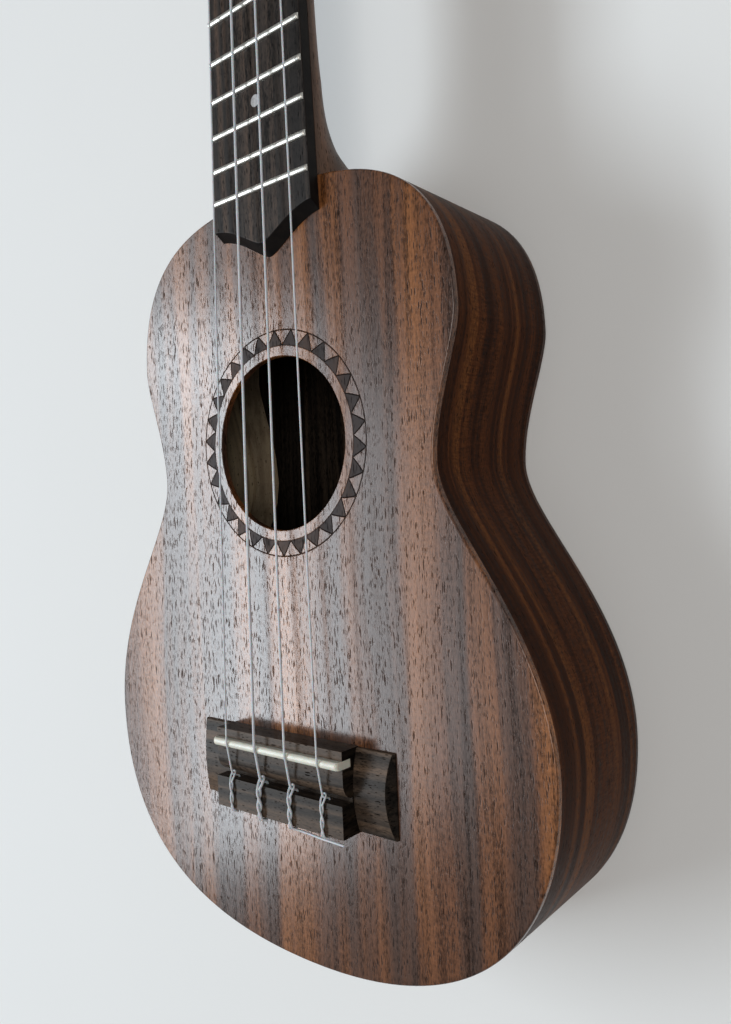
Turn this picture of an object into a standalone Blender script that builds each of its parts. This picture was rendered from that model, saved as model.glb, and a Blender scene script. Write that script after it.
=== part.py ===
"""Soprano ukulele, modelled as the separate pieces a maker would glue and bolt together.

The instrument lies on its back: x runs to the treble side, y to the head and z out of the soundboard.
While it is modelled, y = 0 is the joint of neck and body. At the end the whole instrument is moved
along y, so that the origin is under the middle of its length.
"""

import math

import bmesh
import bpy
from mathutils import Matrix, Vector

# Fits
GAP = 0.0003
FINE_GAP = 0.0001
RUN_GAP = 0.0002

# Scale and frets
SCALE_LENGTH = 0.345
FRET_COUNT = 12
SADDLE_COMPENSATION = 0.0015
DOTTED_FRETS = (5, 7, 10)

# Body outline, measured from the neck joint and from the centre line
BODY_LENGTH = 0.2413
UPPER_BOUT_HALF = 0.0669
UPPER_BOUT_Y = 0.0483
WAIST_HALF = 0.0580
WAIST_Y = 0.0888
LOWER_BOUT_HALF = 0.0905
LOWER_BOUT_Y = 0.1702
SHOULDER_REACH = 0.0317
SHOULDER_DROP = 0.0450
UPPER_REACH = 0.0086
WAIST_REACH_UP = 0.0147
WAIST_REACH_DOWN = 0.0175
LOWER_REACH_UP = 0.0376
LOWER_REACH_DOWN = 0.0352
TAIL_REACH = 0.0713
OUTLINE_STEPS = (9, 5, 9, 12)

# Body shell
BODY_DEPTH = 0.052
PLATE_THICKNESS = 0.002
EDGE_ROUND = 0.0011
EDGE_STEPS = 2
RIB_THICKNESS = 0.0018
LINING_HEIGHT = 0.009
LINING_WIDTH = 0.0045
LINING_TIP = 0.0015
SOUNDHOLE_Y = 0.0792
SOUNDHOLE_RADIUS = 0.0272
SOUNDHOLE_SIDES = 48

# Blocks and braces
NECK_BLOCK_HALF = 0.024
NECK_BLOCK_DEPTH = 0.016
TAIL_BLOCK_HALF = 0.020
TAIL_BLOCK_DEPTH = 0.010
BRACE_WIDTH = 0.006
BRACE_HEIGHT = 0.008
BRACE_TIP = 0.0025
BRACE_SCALLOP = 0.022
TOP_BRACES = {"top_brace_upper": 0.040, "top_brace_lower": 0.119}
BACK_BRACES = {"back_brace_upper": 0.034, "back_brace_lower": 0.168}
BRIDGE_PLATE_LENGTH = 0.110
BRIDGE_PLATE_WIDTH = 0.034
BRIDGE_PLATE_THICKNESS = 0.002

# Neck and headstock
NUT_HALF = 0.01755
HEEL_HALF = 0.02145
SHAFT_DEPTH_NUT = 0.0118
SHAFT_DEPTH_HEEL = 0.0128
HEEL_FLARE_DEPTH = 0.080
HEEL_FLARE_LENGTH = 0.0083
HEEL_POINTED_Y = 0.012
SHAFT_ROUND_Y = 0.030
HEEL_FULLNESS = 1.5
SHAFT_FULLNESS = 2.0
SECTION_POINTS = 12
SHAFT_STATIONS = (-0.004, 0.0, 0.003, 0.006, 0.0085, 0.0115, 0.015, 0.020, 0.027, 0.038, 0.065, 0.115)
HEEL_CAP_THICKNESS = 0.002
HEEL_CAP_STEPS = 6
TENON_HALF = 0.007
TENON_LENGTH = 0.008
TENON_HEIGHT = 0.036
HEAD_TILT = math.radians(12.0)
HEAD_LENGTH = 0.098
HEAD_THICKNESS = 0.011
HEAD_CORNER = 0.0016
HEAD_BLEND = 0.016
HEAD_STATIONS = (0.0, 0.005, 0.010, 0.016, 0.022, 0.031, 0.040, 0.050, 0.060, 0.070, 0.082)
HEAD_HALF_WIDTHS = ((0.022, 0.0248), (0.050, 0.0236), (0.088, 0.0262))
HEAD_END_ROUND = 0.008
HEAD_END_NARROWING = 0.0128
HEAD_END_TURN = math.radians(82.0)
HEAD_END_STEPS = 4

# Fretboard, frets and dots
BOARD_THICKNESS = 0.0035
BOARD_END_Y = 0.0116
BOARD_TIP_Y = 0.0208
BOARD_TIP_REACH = 0.0035
BOARD_CORNER_REACH = 0.0087
BOARD_CORNER_DROP = 0.0006
END_BEVEL_CORNER = 0.0026
END_BEVEL_TIP = 0.0038
BOARD_END_STEPS = 8
FRET_WIDTH = 0.0020
FRET_HEIGHT = 0.0009
FRET_INSET = 0.0004
FRET_END_SLOPE = 0.0005
FRET_CROWN = ((1.0, 0.0), (0.8, 0.55), (0.35, 1.0))
TANG_THICKNESS = 0.0005
TANG_DEPTH = 0.0015
DOT_RADIUS = 0.0019
DOT_DEPTH = 0.0012
DOT_SIDES = 16
NUT_THICKNESS = 0.0045
NUT_RISE = 0.0017
NUT_SEAT_RISE = 0.0011
NUT_NOTCH_SPARE = 0.0003
NUT_FALL = NUT_THICKNESS * math.tan(HEAD_TILT * 1.6)

# Bridge and saddle
BRIDGE_HALF = 0.0409
BRIDGE_FRONT = 0.0040
WING_EDGE = 0.0010
WING_CROWN = 0.0032
WING_FOOT = 0.0004
WING_FACET_SLOPE = 0.65
WING_INSET = 0.0003
CENTRE_HALF = 0.0271
RIDGE_HEIGHT = 0.0073
RIDGE_WIDTH = 0.0093
RAMP_WIDTH = 0.0048
RAMP_STEPS = 4
CHANNEL_HEIGHT = 0.0034
CHANNEL_WIDTH = 0.0014
TIE_HEIGHT = 0.0080
TIE_WIDTH = 0.0097
TIE_CHAMFER = 0.0003
TIE_HOLE_RADIUS = 0.0009
TIE_HOLE_HEIGHT = 0.0050
TIE_HOLE_SIDES = 10
SADDLE_HALF = 0.0268
SADDLE_THICKNESS = 0.0025
SADDLE_HEIGHT = 0.0099
CREST_STEPS = 4

# Strings, bass to treble
STRING_GAUGES = {"g": 0.00060, "c": 0.00086, "e": 0.00074, "a": 0.00060}
STRING_SPREAD_SADDLE = 0.0131
STRING_SPREAD_NUT = 0.0093
TWIST_TURNS = 1.5
TWIST_STEPS = 9
TWIST_END = 0.0006
TIE_DROP = ((0.0023, 0.0001), (0.0012, 0.0004), (0.0008, 0.0013))
TIE_HOLE_APPROACH = 0.0007
EYE_SPACE = 0.0006
EYE_START = 0.0005
EYE_DROP = 0.0007
WRAP_TURNS = 2.5
WRAP_STEPS = 24
WRAP_SPACE = 0.0006
STRING_TAIL = 0.0030
TAIL_DROP = 0.0014

# Tuners: (distance along the head, distance from the centre line, side) for each string
TUNER_PLACES = {
    "g": (0.028, 0.0146, -1),
    "c": (0.066, 0.0146, -1),
    "e": (0.066, 0.0146, 1),
    "a": (0.028, 0.0146, 1),
}
WHEEL_TEETH = 14
TOOTH_MODULE = 0.00075
TOOTH_ADDENDUM = 0.00060
TOOTH_DEDENDUM = 0.00080
TOOTH_BACKLASH = 0.00028
WHEEL_WIDTH = 0.0030
WORM_PITCH_RADIUS = 0.0023
WORM_TURNS = 2.4
WORM_STEPS = 10
WORM_END = 0.0006
PRESSURE_ANGLE = math.radians(20.0)
PLATE_HALF = 0.0064
PLATE_TAIL = 0.0112
PLATE_NOSE = 0.0152
PLATE_CORNER = 0.0016
TUNER_PLATE_THICKNESS = 0.0010
EAR_THICKNESS = 0.0014
EAR_ROOM = 0.0046
EAR_RIM = 0.0011
COLLAR_RADIUS = 0.0024
COLLAR_LENGTH = 0.0010
BUTTON_CLEARANCE = 0.0035
BUTTON_LENGTH = 0.0120
BUTTON_HALF_LONG = 0.0074
BUTTON_HALF_THICK = 0.0044
BUTTON_SOCKET = 0.0065
BUTTON_SIDES = 14
POST_RADIUS = 0.0030
POST_WAIST_RADIUS = 0.0026
POST_SIDES = 14
POST_HEIGHT = 0.0125
POST_WAIST_LOW = 0.0028
POST_SHOULDER = 0.0004
POST_CAP = 0.0032
POST_CAP_HEIGHT = 0.0018
POST_CAP_ROUND = 0.0006
POST_FOOT = 0.0007
BORE_SIDES = 12
POST_HOLE_SPARE = 0.0005
BUSH_SLEEVE = 0.0007
BUSH_FLANGE_RADIUS = 0.0050
BUSH_FLANGE_HEIGHT = 0.0010
BUSH_LENGTH = 0.0060

TOP = BODY_DEPTH
SEAT = TOP + GAP
BOARD_TOP = SEAT + BOARD_THICKNESS
NUT_Y = SCALE_LENGTH / 2
HEAD_Y = NUT_Y + GAP + NUT_THICKNESS + GAP
SADDLE_Y = -(SCALE_LENGTH / 2 + SADDLE_COMPENSATION)
RIDGE_FRONT_Y = SADDLE_Y + BRIDGE_FRONT
RAMP_TOP_Y = RIDGE_FRONT_Y - RIDGE_WIDTH
TIE_FRONT_Y = RAMP_TOP_Y - RAMP_WIDTH - CHANNEL_WIDTH
TIE_REAR_Y = TIE_FRONT_Y - TIE_WIDTH
WHEEL_PITCH_RADIUS = TOOTH_MODULE * WHEEL_TEETH / 2
WORM_LEAD = math.pi * TOOTH_MODULE
WORM_ROOT_RADIUS = WORM_PITCH_RADIUS - TOOTH_DEDENDUM
WORM_TIP_RADIUS = WORM_PITCH_RADIUS + TOOTH_ADDENDUM
WORM_OFFSET = WHEEL_PITCH_RADIUS + WORM_PITCH_RADIUS + FINE_GAP
PLATE_BACK = -(HEAD_THICKNESS + GAP + TUNER_PLATE_THICKNESS)
WORM_LEVEL = PLATE_BACK - RUN_GAP - WORM_TIP_RADIUS
EAR_RADIUS = WORM_ROOT_RADIUS + RUN_GAP + EAR_RIM
HEAD_FRAME = Matrix.Translation((0, HEAD_Y, TOP)) @ Matrix.Rotation(-HEAD_TILT, 4, "X")

WOOD_TOP = ((0.30, 0.17, 0.11), 0.45, 0.0)
WOOD_SIDE = ((0.16, 0.06, 0.035), 0.40, 0.0)
WOOD_NECK = ((0.17, 0.08, 0.05), 0.55, 0.0)
WOOD_DARK = ((0.075, 0.05, 0.04), 0.50, 0.0)
WOOD_PALE = ((0.62, 0.47, 0.31), 0.60, 0.0)
BONE = ((0.85, 0.82, 0.70), 0.35, 0.0)
NYLON = ((0.82, 0.84, 0.86), 0.25, 0.0)
NICKEL = ((0.72, 0.70, 0.66), 0.25, 1.0)
BRASS = ((0.74, 0.58, 0.30), 0.30, 1.0)
PEARL = ((0.80, 0.80, 0.78), 0.30, 0.0)
IVORY_PLASTIC = ((0.86, 0.84, 0.78), 0.30, 0.0)


def material(name, look):
    """A plain material from (colour, roughness, metallic)."""
    colour, roughness, metallic = look
    made = bpy.data.materials.new(name)
    made.use_nodes = True
    shader = made.node_tree.nodes["Principled BSDF"]
    shader.inputs["Base Color"].default_value = (*colour, 1.0)
    shader.inputs["Roughness"].default_value = roughness
    shader.inputs["Metallic"].default_value = metallic
    return made


def add_object(name, data, parent=None, place=(0, 0, 0)):
    """Link an object and hang it on its parent."""
    made = bpy.data.objects.new(name, data)
    made.location = place
    made.parent = parent
    bpy.context.collection.objects.link(made)
    return made


def finish_mesh(name, shape, look, parent=None, place=(0, 0, 0), sharp=30.0):
    """Turn a bmesh into a named object with its faces pointing out."""
    bmesh.ops.recalc_face_normals(shape, faces=shape.faces[:])
    mesh = bpy.data.meshes.new(name)
    shape.to_mesh(mesh)
    shape.free()
    mesh.shade_smooth()
    mesh.set_sharp_from_angle(angle=math.radians(sharp))
    if look:
        mesh.materials.append(material(name, look))
    return add_object(name, mesh, parent, place)


def add_loft(shape, rings):
    """Skin closed rings of equal point counts into one solid and cap both ends."""
    rows = [[shape.verts.new(point) for point in ring] for ring in rings]
    count = len(rows[0])
    for row, following in zip(rows, rows[1:]):
        for i in range(count):
            j = (i + 1) % count
            shape.faces.new((row[i], row[j], following[j], following[i]))
    shape.faces.new(rows[0][::-1])
    shape.faces.new(rows[-1])


def loft(rings):
    shape = bmesh.new()
    add_loft(shape, rings)
    return shape


def prism(outline, low, high):
    """Upright solid over a closed outline of (x, y) points."""
    return loft([[(x, y, z) for x, y in outline] for z in (low, high)])


def ring_around(centre, radius, sides, axis="Z"):
    """Points of a circle square to an axis."""
    points = []
    for i in range(sides):
        turn = math.tau * i / sides
        a = radius * math.cos(turn)
        b = radius * math.sin(turn)
        offset = {"X": (0, a, b), "Y": (b, 0, a), "Z": (a, b, 0)}[axis]
        points.append(Vector(centre) + Vector(offset))
    return points


def add_cylinder(shape, start, end, radius, sides, axis="Z"):
    add_loft(shape, [ring_around(start, radius, sides, axis), ring_around(end, radius, sides, axis)])


def turned(profile, sides, axis="Z"):
    """Solid of revolution about an axis from (station, radius) points, closed by flat ends."""
    index = "XYZ".index(axis)
    rings = []
    for station, radius in profile:
        centre = Vector((0, 0, 0))
        centre[index] = station
        rings.append(ring_around(centre, radius, sides, axis))
    return loft(rings)


def box_corners(low, high):
    """Two rings of a box, for a loft along z."""
    outline = [(low[0], low[1]), (high[0], low[1]), (high[0], high[1]), (low[0], high[1])]
    return [[(x, y, z) for x, y in outline] for z in (low[2], high[2])]


def tool(name, shape, parent=None, place=(0, 0, 0)):
    """An object that only cuts or joins another."""
    made = finish_mesh(name, shape, None, parent, place)
    made.hide_render = True
    made.display_type = "WIRE"
    return made


def combine(target, operand, operation):
    """Boolean with the exact solver."""
    modifier = target.modifiers.new(operand.name, "BOOLEAN")
    modifier.operation = operation
    modifier.solver = "EXACT"
    modifier.object = operand


def bezier(start, reach_a, reach_b, end, steps):
    """Points along a cubic curve, without its start."""
    points = []
    for i in range(1, steps + 1):
        t = i / steps
        s = 1 - t
        points.append(start * s**3 + reach_a * (3 * s * s * t) + reach_b * (3 * s * t * t) + end * t**3)
    return points


def outline_half():
    """Treble half of the body outline, from the neck joint to the tail."""
    upper = Vector((UPPER_BOUT_HALF, -UPPER_BOUT_Y))
    waist = Vector((WAIST_HALF, -WAIST_Y))
    lower = Vector((LOWER_BOUT_HALF, -LOWER_BOUT_Y))
    joint = Vector((0, 0))
    tail = Vector((0, -BODY_LENGTH))
    down = Vector((0, -1))
    across = Vector((1, 0))
    curves = [
        (joint, across * SHOULDER_REACH, upper - down * SHOULDER_DROP, upper),
        (upper, upper + down * UPPER_REACH, waist - down * WAIST_REACH_UP, waist),
        (waist, waist + down * WAIST_REACH_DOWN, lower - down * LOWER_REACH_UP, lower),
        (lower, lower + down * LOWER_REACH_DOWN, tail + across * TAIL_REACH, tail),
    ]
    points = [joint]
    for curve, steps in zip(curves, OUTLINE_STEPS):
        points += bezier(*curve, steps)
    return points


def outline_normals(points):
    """Outward normals of the treble half, symmetric at both ends."""
    before = Vector((-points[1].x, points[1].y))
    after = Vector((-points[-2].x, points[-2].y))
    chain = [before, *points, after]
    normals = []
    for i in range(len(points)):
        along = chain[i + 2] - chain[i]
        normals.append(Vector((-along.y, along.x)).normalized())
    return normals


def body_outline(inset):
    """Closed body outline, moved in by a distance."""
    points = outline_half()
    treble = [p - n * inset for p, n in zip(points, outline_normals(points))]
    bass = [Vector((-p.x, p.y)) for p in treble]
    return [(p.x, p.y) for p in bass + treble[-2:0:-1]]


def wall_path(neck_x, tail_x):
    """Treble half of the outline as (point, normal), cut off at these distances from the centre line."""
    points = outline_half()
    path = list(zip(points, outline_normals(points)))

    def crossing(outer, inner, x):
        share = (x - inner[0].x) / (outer[0].x - inner[0].x)
        return (inner[0].lerp(outer[0], share), inner[1].lerp(outer[1], share).normalized())

    kept = [pair for pair in path[:-1] if pair[0].x > neck_x or pair[0].y < -WAIST_Y]
    kept = [pair for pair in kept if pair[0].x > tail_x or pair[0].y > -WAIST_Y]
    first = path.index(kept[0])
    last = path.index(kept[-1])
    start = crossing(path[first], path[first - 1], neck_x)
    return [start, *kept, crossing(path[last], path[last + 1], tail_x)]


def half_width_at(y, inset):
    """Half width of the body at a distance down from the neck joint, inside a given inset."""
    points = outline_half()
    inner = [p - n * inset for p, n in zip(points, outline_normals(points))]
    for a, b in zip(inner, inner[1:]):
        if b.y <= -y <= a.y:
            share = (a.y + y) / (a.y - b.y)
            return a.x + (b.x - a.x) * share
    return 0.0


def board_half(y):
    """Half width of the fretboard, and of the neck under it."""
    share = (y + BOARD_END_Y) / (NUT_Y + BOARD_END_Y)
    return HEEL_HALF + (NUT_HALF - HEEL_HALF) * share


def string_x(index, y):
    """Distance of a string from the centre line, anywhere between nut and saddle."""
    share = (NUT_Y - y) / (NUT_Y - SADDLE_Y)
    spread = STRING_SPREAD_NUT + (STRING_SPREAD_SADDLE - STRING_SPREAD_NUT) * share
    return (index - (len(STRING_GAUGES) - 1) / 2) * spread


def fret_y(number):
    return SCALE_LENGTH * (2 ** (-number / 12) - 0.5)


def make_plate(name, outer_z, inner_z):
    """Soundboard or back: full outline, with a rounded edge on its outer face."""
    out = 1 if outer_z > inner_z else -1
    rings = [[(x, y, inner_z) for x, y in body_outline(0)]]
    for i in range(EDGE_STEPS + 1):
        turn = math.pi / 2 * i / EDGE_STEPS
        z = outer_z - out * EDGE_ROUND * (1 - math.sin(turn))
        rings.append([(x, y, z) for x, y in body_outline(EDGE_ROUND * (1 - math.cos(turn)))])
    return finish_mesh(name, loft(rings), WOOD_TOP if out > 0 else WOOD_SIDE)


def make_soundboard():
    board = make_plate("soundboard", TOP, TOP - PLATE_THICKNESS)
    hole = bmesh.new()
    depth = PLATE_THICKNESS * 2
    start = (0, -SOUNDHOLE_Y, TOP - depth)
    add_cylinder(hole, start, (0, -SOUNDHOLE_Y, TOP + depth), SOUNDHOLE_RADIUS, SOUNDHOLE_SIDES)
    combine(board, tool("soundhole_cut", hole), "DIFFERENCE")


def make_side(name, side):
    """One bent rib, from the neck tenon to the middle of the tail."""
    low = PLATE_THICKNESS + GAP
    high = TOP - PLATE_THICKNESS - GAP
    rings = []
    for point, normal in wall_path(TENON_HALF + GAP, GAP / 2):
        inner = point - normal * RIB_THICKNESS
        corners = ((point, low), (point, high), (inner, high), (inner, low))
        rings.append([(side * p.x, p.y, z) for p, z in corners])
    finish_mesh(name, loft(rings), WOOD_SIDE)


def make_lining(name, side, top):
    """Triangular glue strip along the inside of a rib, between the blocks."""
    face = RIB_THICKNESS + GAP
    if top:
        plate_z = TOP - PLATE_THICKNESS - GAP
        tip_z = plate_z - LINING_HEIGHT
    else:
        plate_z = PLATE_THICKNESS + GAP
        tip_z = plate_z + LINING_HEIGHT
    section = [(face, plate_z), (face + LINING_WIDTH, plate_z), (face + LINING_TIP, tip_z), (face, tip_z)]
    rings = []
    for point, normal in wall_path(NECK_BLOCK_HALF + LINING_WIDTH, TAIL_BLOCK_HALF + LINING_WIDTH):
        places = [(point - normal * inset, z) for inset, z in section]
        rings.append([(side * p.x, p.y, z) for p, z in places])
    finish_mesh(name, loft(rings), WOOD_PALE)


def block_edge(half, at_tail):
    """Points of a block's outer face, following the inside of the ribs."""
    points = outline_half()
    inner = [p - n * (RIB_THICKNESS + GAP) for p, n in zip(points, outline_normals(points))]
    if at_tail:
        inner.reverse()
    near = []
    for past in inner:
        if past.x >= half:
            break
        near.append(past)
    share = (half - near[-1].x) / (past.x - near[-1].x)
    near.append(near[-1].lerp(past, share))
    return near


def make_neck_block():
    """Block that takes the neck tenon, with its mortise open at the outer face."""
    edge = block_edge(NECK_BLOCK_HALF, False)
    slot = TENON_HALF + GAP
    floor = -(RIB_THICKNESS + GAP + TENON_LENGTH + GAP)
    rear = -NECK_BLOCK_DEPTH
    right = [(slot, floor), (slot, edge[0].y)] + [(p.x, p.y) for p in edge if p.x > slot]
    right.append((NECK_BLOCK_HALF, rear))
    left = [(-x, y) for x, y in reversed(right)]
    shape = prism(right + left, PLATE_THICKNESS + GAP, TOP - PLATE_THICKNESS - GAP)
    finish_mesh("neck_block", shape, WOOD_PALE)


def make_tail_block():
    edge = [(p.x, p.y) for p in block_edge(TAIL_BLOCK_HALF, True)]
    inner_y = edge[0][1] + TAIL_BLOCK_DEPTH
    right = edge + [(TAIL_BLOCK_HALF, inner_y)]
    left = [(-x, y) for x, y in reversed(right) if x > 0]
    shape = prism(right + left, PLATE_THICKNESS + GAP, TOP - PLATE_THICKNESS - GAP)
    finish_mesh("tail_block", shape, WOOD_PALE)


def make_brace(name, y, on_top):
    """Cross brace with scalloped ends, glued to the soundboard or to the back."""
    inset = RIB_THICKNESS + GAP + LINING_WIDTH + GAP
    edges = (y - BRACE_WIDTH / 2, y + BRACE_WIDTH / 2)
    half = min(half_width_at(edge, inset) for edge in edges)
    profile = [(half, 0.0), (half, BRACE_TIP), (half - BRACE_SCALLOP / 2, BRACE_TIP + BRACE_HEIGHT / 8)]
    profile.append((half - BRACE_SCALLOP, BRACE_HEIGHT))
    if on_top:
        glue_z = TOP - PLATE_THICKNESS - GAP
        down = -1
    else:
        glue_z = PLATE_THICKNESS + GAP
        down = 1
    outline = profile + [(-x, z) for x, z in reversed(profile)]
    rings = [[(x, -edge, glue_z + down * z) for x, z in outline] for edge in edges]
    finish_mesh(name, loft(rings), WOOD_PALE)


def make_bridge_plate():
    """Thin reinforcement under the soundboard, centred on the bridge."""
    high = TOP - PLATE_THICKNESS - GAP
    middle = (RIDGE_FRONT_Y + TIE_REAR_Y) / 2
    low_corner = (-BRIDGE_PLATE_LENGTH / 2, middle - BRIDGE_PLATE_WIDTH / 2, high - BRIDGE_PLATE_THICKNESS)
    high_corner = (BRIDGE_PLATE_LENGTH / 2, middle + BRIDGE_PLATE_WIDTH / 2, high)
    finish_mesh("bridge_plate", loft(box_corners(low_corner, high_corner)), WOOD_PALE)


def heel_depth(y):
    """Depth of the neck below the fretboard: a nearly even shaft that flares into the heel."""
    share = y / NUT_Y
    shaft = SHAFT_DEPTH_HEEL + (SHAFT_DEPTH_NUT - SHAFT_DEPTH_HEEL) * share
    return shaft + HEEL_FLARE_DEPTH * math.exp(-y / HEEL_FLARE_LENGTH)


def fullness(y):
    """Exponent of the section: round along the shaft, pointed at the heel."""
    share = min(max((y - HEEL_POINTED_Y) / (SHAFT_ROUND_Y - HEEL_POINTED_Y), 0), 1)
    return HEEL_FULLNESS + (SHAFT_FULLNESS - HEEL_FULLNESS) * share


def shaft_section(y):
    """(x, depth) points of the neck section from edge to edge, cut flat above the heel cap."""
    half = board_half(y)
    power = 2 / fullness(y)
    deepest = TOP - HEEL_CAP_THICKNESS - GAP
    section = []
    for i in range(SECTION_POINTS):
        turn = math.pi * i / (SECTION_POINTS - 1)
        x = half * math.copysign(abs(math.cos(turn)) ** power, math.cos(turn))
        section.append((x, min(heel_depth(y) * math.sin(turn) ** power, deepest)))
    return section


def head_half(u):
    """Half width of the headstock at a distance along it."""
    knots = ((0.0, board_half(NUT_Y)), *HEAD_HALF_WIDTHS)
    for (u_a, half_a), (u_b, half_b) in zip(knots, knots[1:]):
        if u <= u_b:
            share = (u - u_a) / (u_b - u_a)
            smooth = share * share * (3 - 2 * share)
            return half_a + (half_b - half_a) * smooth
    return knots[-1][1]


def head_section(half, corner):
    """(x, depth) points of the headstock section, a board with rounded back edges."""
    slant = corner * (1 - math.sqrt(0.5))
    back = HEAD_THICKNESS
    right = [(half, 0.0), (half, back / 2), (half, back - corner)]
    right += [(half - slant, back - slant), (half - corner, back), (half / 2, back)]
    return right + [(-x, depth) for x, depth in reversed(right)]


def make_neck():
    """Neck shaft, heel, tenon and headstock, carved from one piece."""
    rings = []
    for y in (*SHAFT_STATIONS, NUT_Y):
        rings.append([Vector((x, y, TOP - depth)) for x, depth in shaft_section(max(y, 0))])
    shaft = shaft_section(NUT_Y)
    for u in HEAD_STATIONS:
        share = min(u / HEAD_BLEND, 1)
        board = head_section(head_half(u), HEAD_CORNER)
        section = [Vector(a).lerp(Vector(b), share) for a, b in zip(shaft, board)]
        rings.append([HEAD_FRAME @ Vector((x, u, -depth)) for x, depth in section])
    for i in range(HEAD_END_STEPS + 1):
        turn = HEAD_END_TURN * i / HEAD_END_STEPS
        u = HEAD_LENGTH - HEAD_END_ROUND * (1 - math.sin(turn))
        half = head_half(HEAD_LENGTH) - HEAD_END_NARROWING * (1 - math.cos(turn))
        rings.append([HEAD_FRAME @ Vector((x, u, -depth)) for x, depth in head_section(half, HEAD_CORNER)])
    neck = finish_mesh("neck", loft(rings), WOOD_NECK)

    body = tool("body_cut", prism(body_outline(-GAP), -PLATE_THICKNESS, TOP + PLATE_THICKNESS))
    combine(neck, body, "DIFFERENCE")
    tenon_top = TOP - PLATE_THICKNESS - GAP
    reach = RIB_THICKNESS + GAP + TENON_LENGTH
    low = (-TENON_HALF, -reach, tenon_top - TENON_HEIGHT)
    tenon = loft(box_corners(low, (TENON_HALF, TENON_LENGTH / 2, tenon_top)))
    combine(neck, tool("tenon_join", tenon), "UNION")
    holes = bmesh.new()
    radius = POST_RADIUS + RUN_GAP + BUSH_SLEEVE + GAP
    for along, out, side in TUNER_PLACES.values():
        start = (side * out, along, -HEAD_THICKNESS * 2)
        add_cylinder(holes, start, (side * out, along, HEAD_THICKNESS), radius, POST_SIDES)
    holes.transform(HEAD_FRAME)
    combine(neck, tool("post_holes", holes), "DIFFERENCE")
    return body


def make_heel_cap(body):
    """Thin cap under the flat foot of the heel, cut to the body like the heel itself."""
    foot = TOP - HEEL_CAP_THICKNESS - GAP
    reach = HEEL_FLARE_LENGTH * math.log(HEEL_FLARE_DEPTH / (foot - SHAFT_DEPTH_HEEL))
    right = []
    for i in range(HEEL_CAP_STEPS):
        y = reach * i / HEEL_CAP_STEPS
        power = fullness(y)
        right.append((board_half(y) * (1 - (foot / heel_depth(y)) ** power) ** (1 / power), y))
    right.insert(0, (right[0][0], -GAP * 4))
    left = [(-x, y) for x, y in reversed(right)]
    cap = finish_mesh("heel_cap", prism([*right, (0, reach), *left], 0, HEEL_CAP_THICKNESS), WOOD_DARK)
    combine(cap, body, "DIFFERENCE")


def board_end():
    """Brace-shaped lower end of the fretboard, treble corner to tip, at soundboard level."""
    corner = Vector((board_half(-BOARD_END_Y), -BOARD_END_Y))
    tip = Vector((0, -BOARD_TIP_Y))
    reach_a = corner + Vector((-BOARD_CORNER_REACH, -BOARD_CORNER_DROP))
    reach_b = tip + Vector((BOARD_TIP_REACH, 0))
    return [corner, *bezier(corner, reach_a, reach_b, tip, BOARD_END_STEPS)]


def make_fretboard():
    """Tapered board with a bevelled, brace-shaped end, blind fret slots and dot pockets."""
    edge = board_end()
    rings = []
    for level in (0, 1):
        right = [Vector((NUT_HALF, NUT_Y))]
        for point in edge:
            from_tip = point.x / edge[0].x
            rise = END_BEVEL_TIP + (END_BEVEL_CORNER - END_BEVEL_TIP) * from_tip
            y = point.y + rise * level
            right.append(Vector((board_half(y) if point == edge[0] else point.x, y)))
        left = [Vector((-p.x, p.y)) for p in right[-2::-1]]
        rings.append([(p.x, p.y, SEAT + BOARD_THICKNESS * level) for p in right + left])
    board = finish_mesh("fretboard", loft(rings), WOOD_DARK)

    cuts = bmesh.new()
    slot_depth = TANG_DEPTH + GAP
    for number in range(1, FRET_COUNT + 1):
        y = fret_y(number)
        half = tang_half(y) + GAP
        wide = TANG_THICKNESS / 2 + GAP
        low = (-half, y - wide, BOARD_TOP - slot_depth)
        add_loft(cuts, box_corners(low, (half, y + wide, BOARD_TOP + slot_depth)))
    for number in DOTTED_FRETS:
        y = (fret_y(number) + fret_y(number - 1)) / 2
        low = BOARD_TOP - DOT_DEPTH - GAP
        add_cylinder(cuts, (0, y, low), (0, y, BOARD_TOP + DOT_DEPTH), DOT_RADIUS + FINE_GAP, DOT_SIDES)
    combine(board, tool("board_cuts", cuts), "DIFFERENCE")


def tang_half(y):
    """Half length of a fret's tang, which stops short of the crown's ends."""
    return board_half(y) - FRET_INSET - (FRET_WIDTH - TANG_THICKNESS) / 2


def make_fret(number):
    """Crowned fret wire with sloping ends and a tang set in from the crown."""
    y = fret_y(number)
    half = board_half(y) - FRET_INSET
    base = BOARD_TOP + FINE_GAP
    wide = FRET_WIDTH / 2
    crown = [(-wide * a, h) for a, h in FRET_CROWN] + [(wide * a, h) for a, h in reversed(FRET_CROWN)]
    rings = []
    for end in (-1, 1):
        rings.append([(end * (half - FRET_END_SLOPE * h), y + a, base + FRET_HEIGHT * h) for a, h in crown])
    shape = loft(rings)
    bmesh.ops.recalc_face_normals(shape, faces=shape.faces[:])
    under = min(shape.faces, key=lambda face: face.calc_center_median().z)
    bmesh.ops.inset_region(shape, faces=[under], thickness=(FRET_WIDTH - TANG_THICKNESS) / 2)
    moved = bmesh.ops.extrude_face_region(shape, geom=[under])
    corners = [item for item in moved["geom"] if isinstance(item, bmesh.types.BMVert)]
    bmesh.ops.translate(shape, vec=(0, 0, -TANG_DEPTH - FINE_GAP), verts=corners)
    bmesh.ops.delete(shape, geom=[under], context="FACES_ONLY")
    finish_mesh(f"fret_{number:02d}", shape, NICKEL)


def make_dot(number):
    y = (fret_y(number) + fret_y(number - 1)) / 2
    profile = ((BOARD_TOP - DOT_DEPTH, DOT_RADIUS), (BOARD_TOP, DOT_RADIUS))
    finish_mesh(f"dot_{number:02d}", turned(profile, DOT_SIDES), PEARL, None, (0, y, 0))


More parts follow.
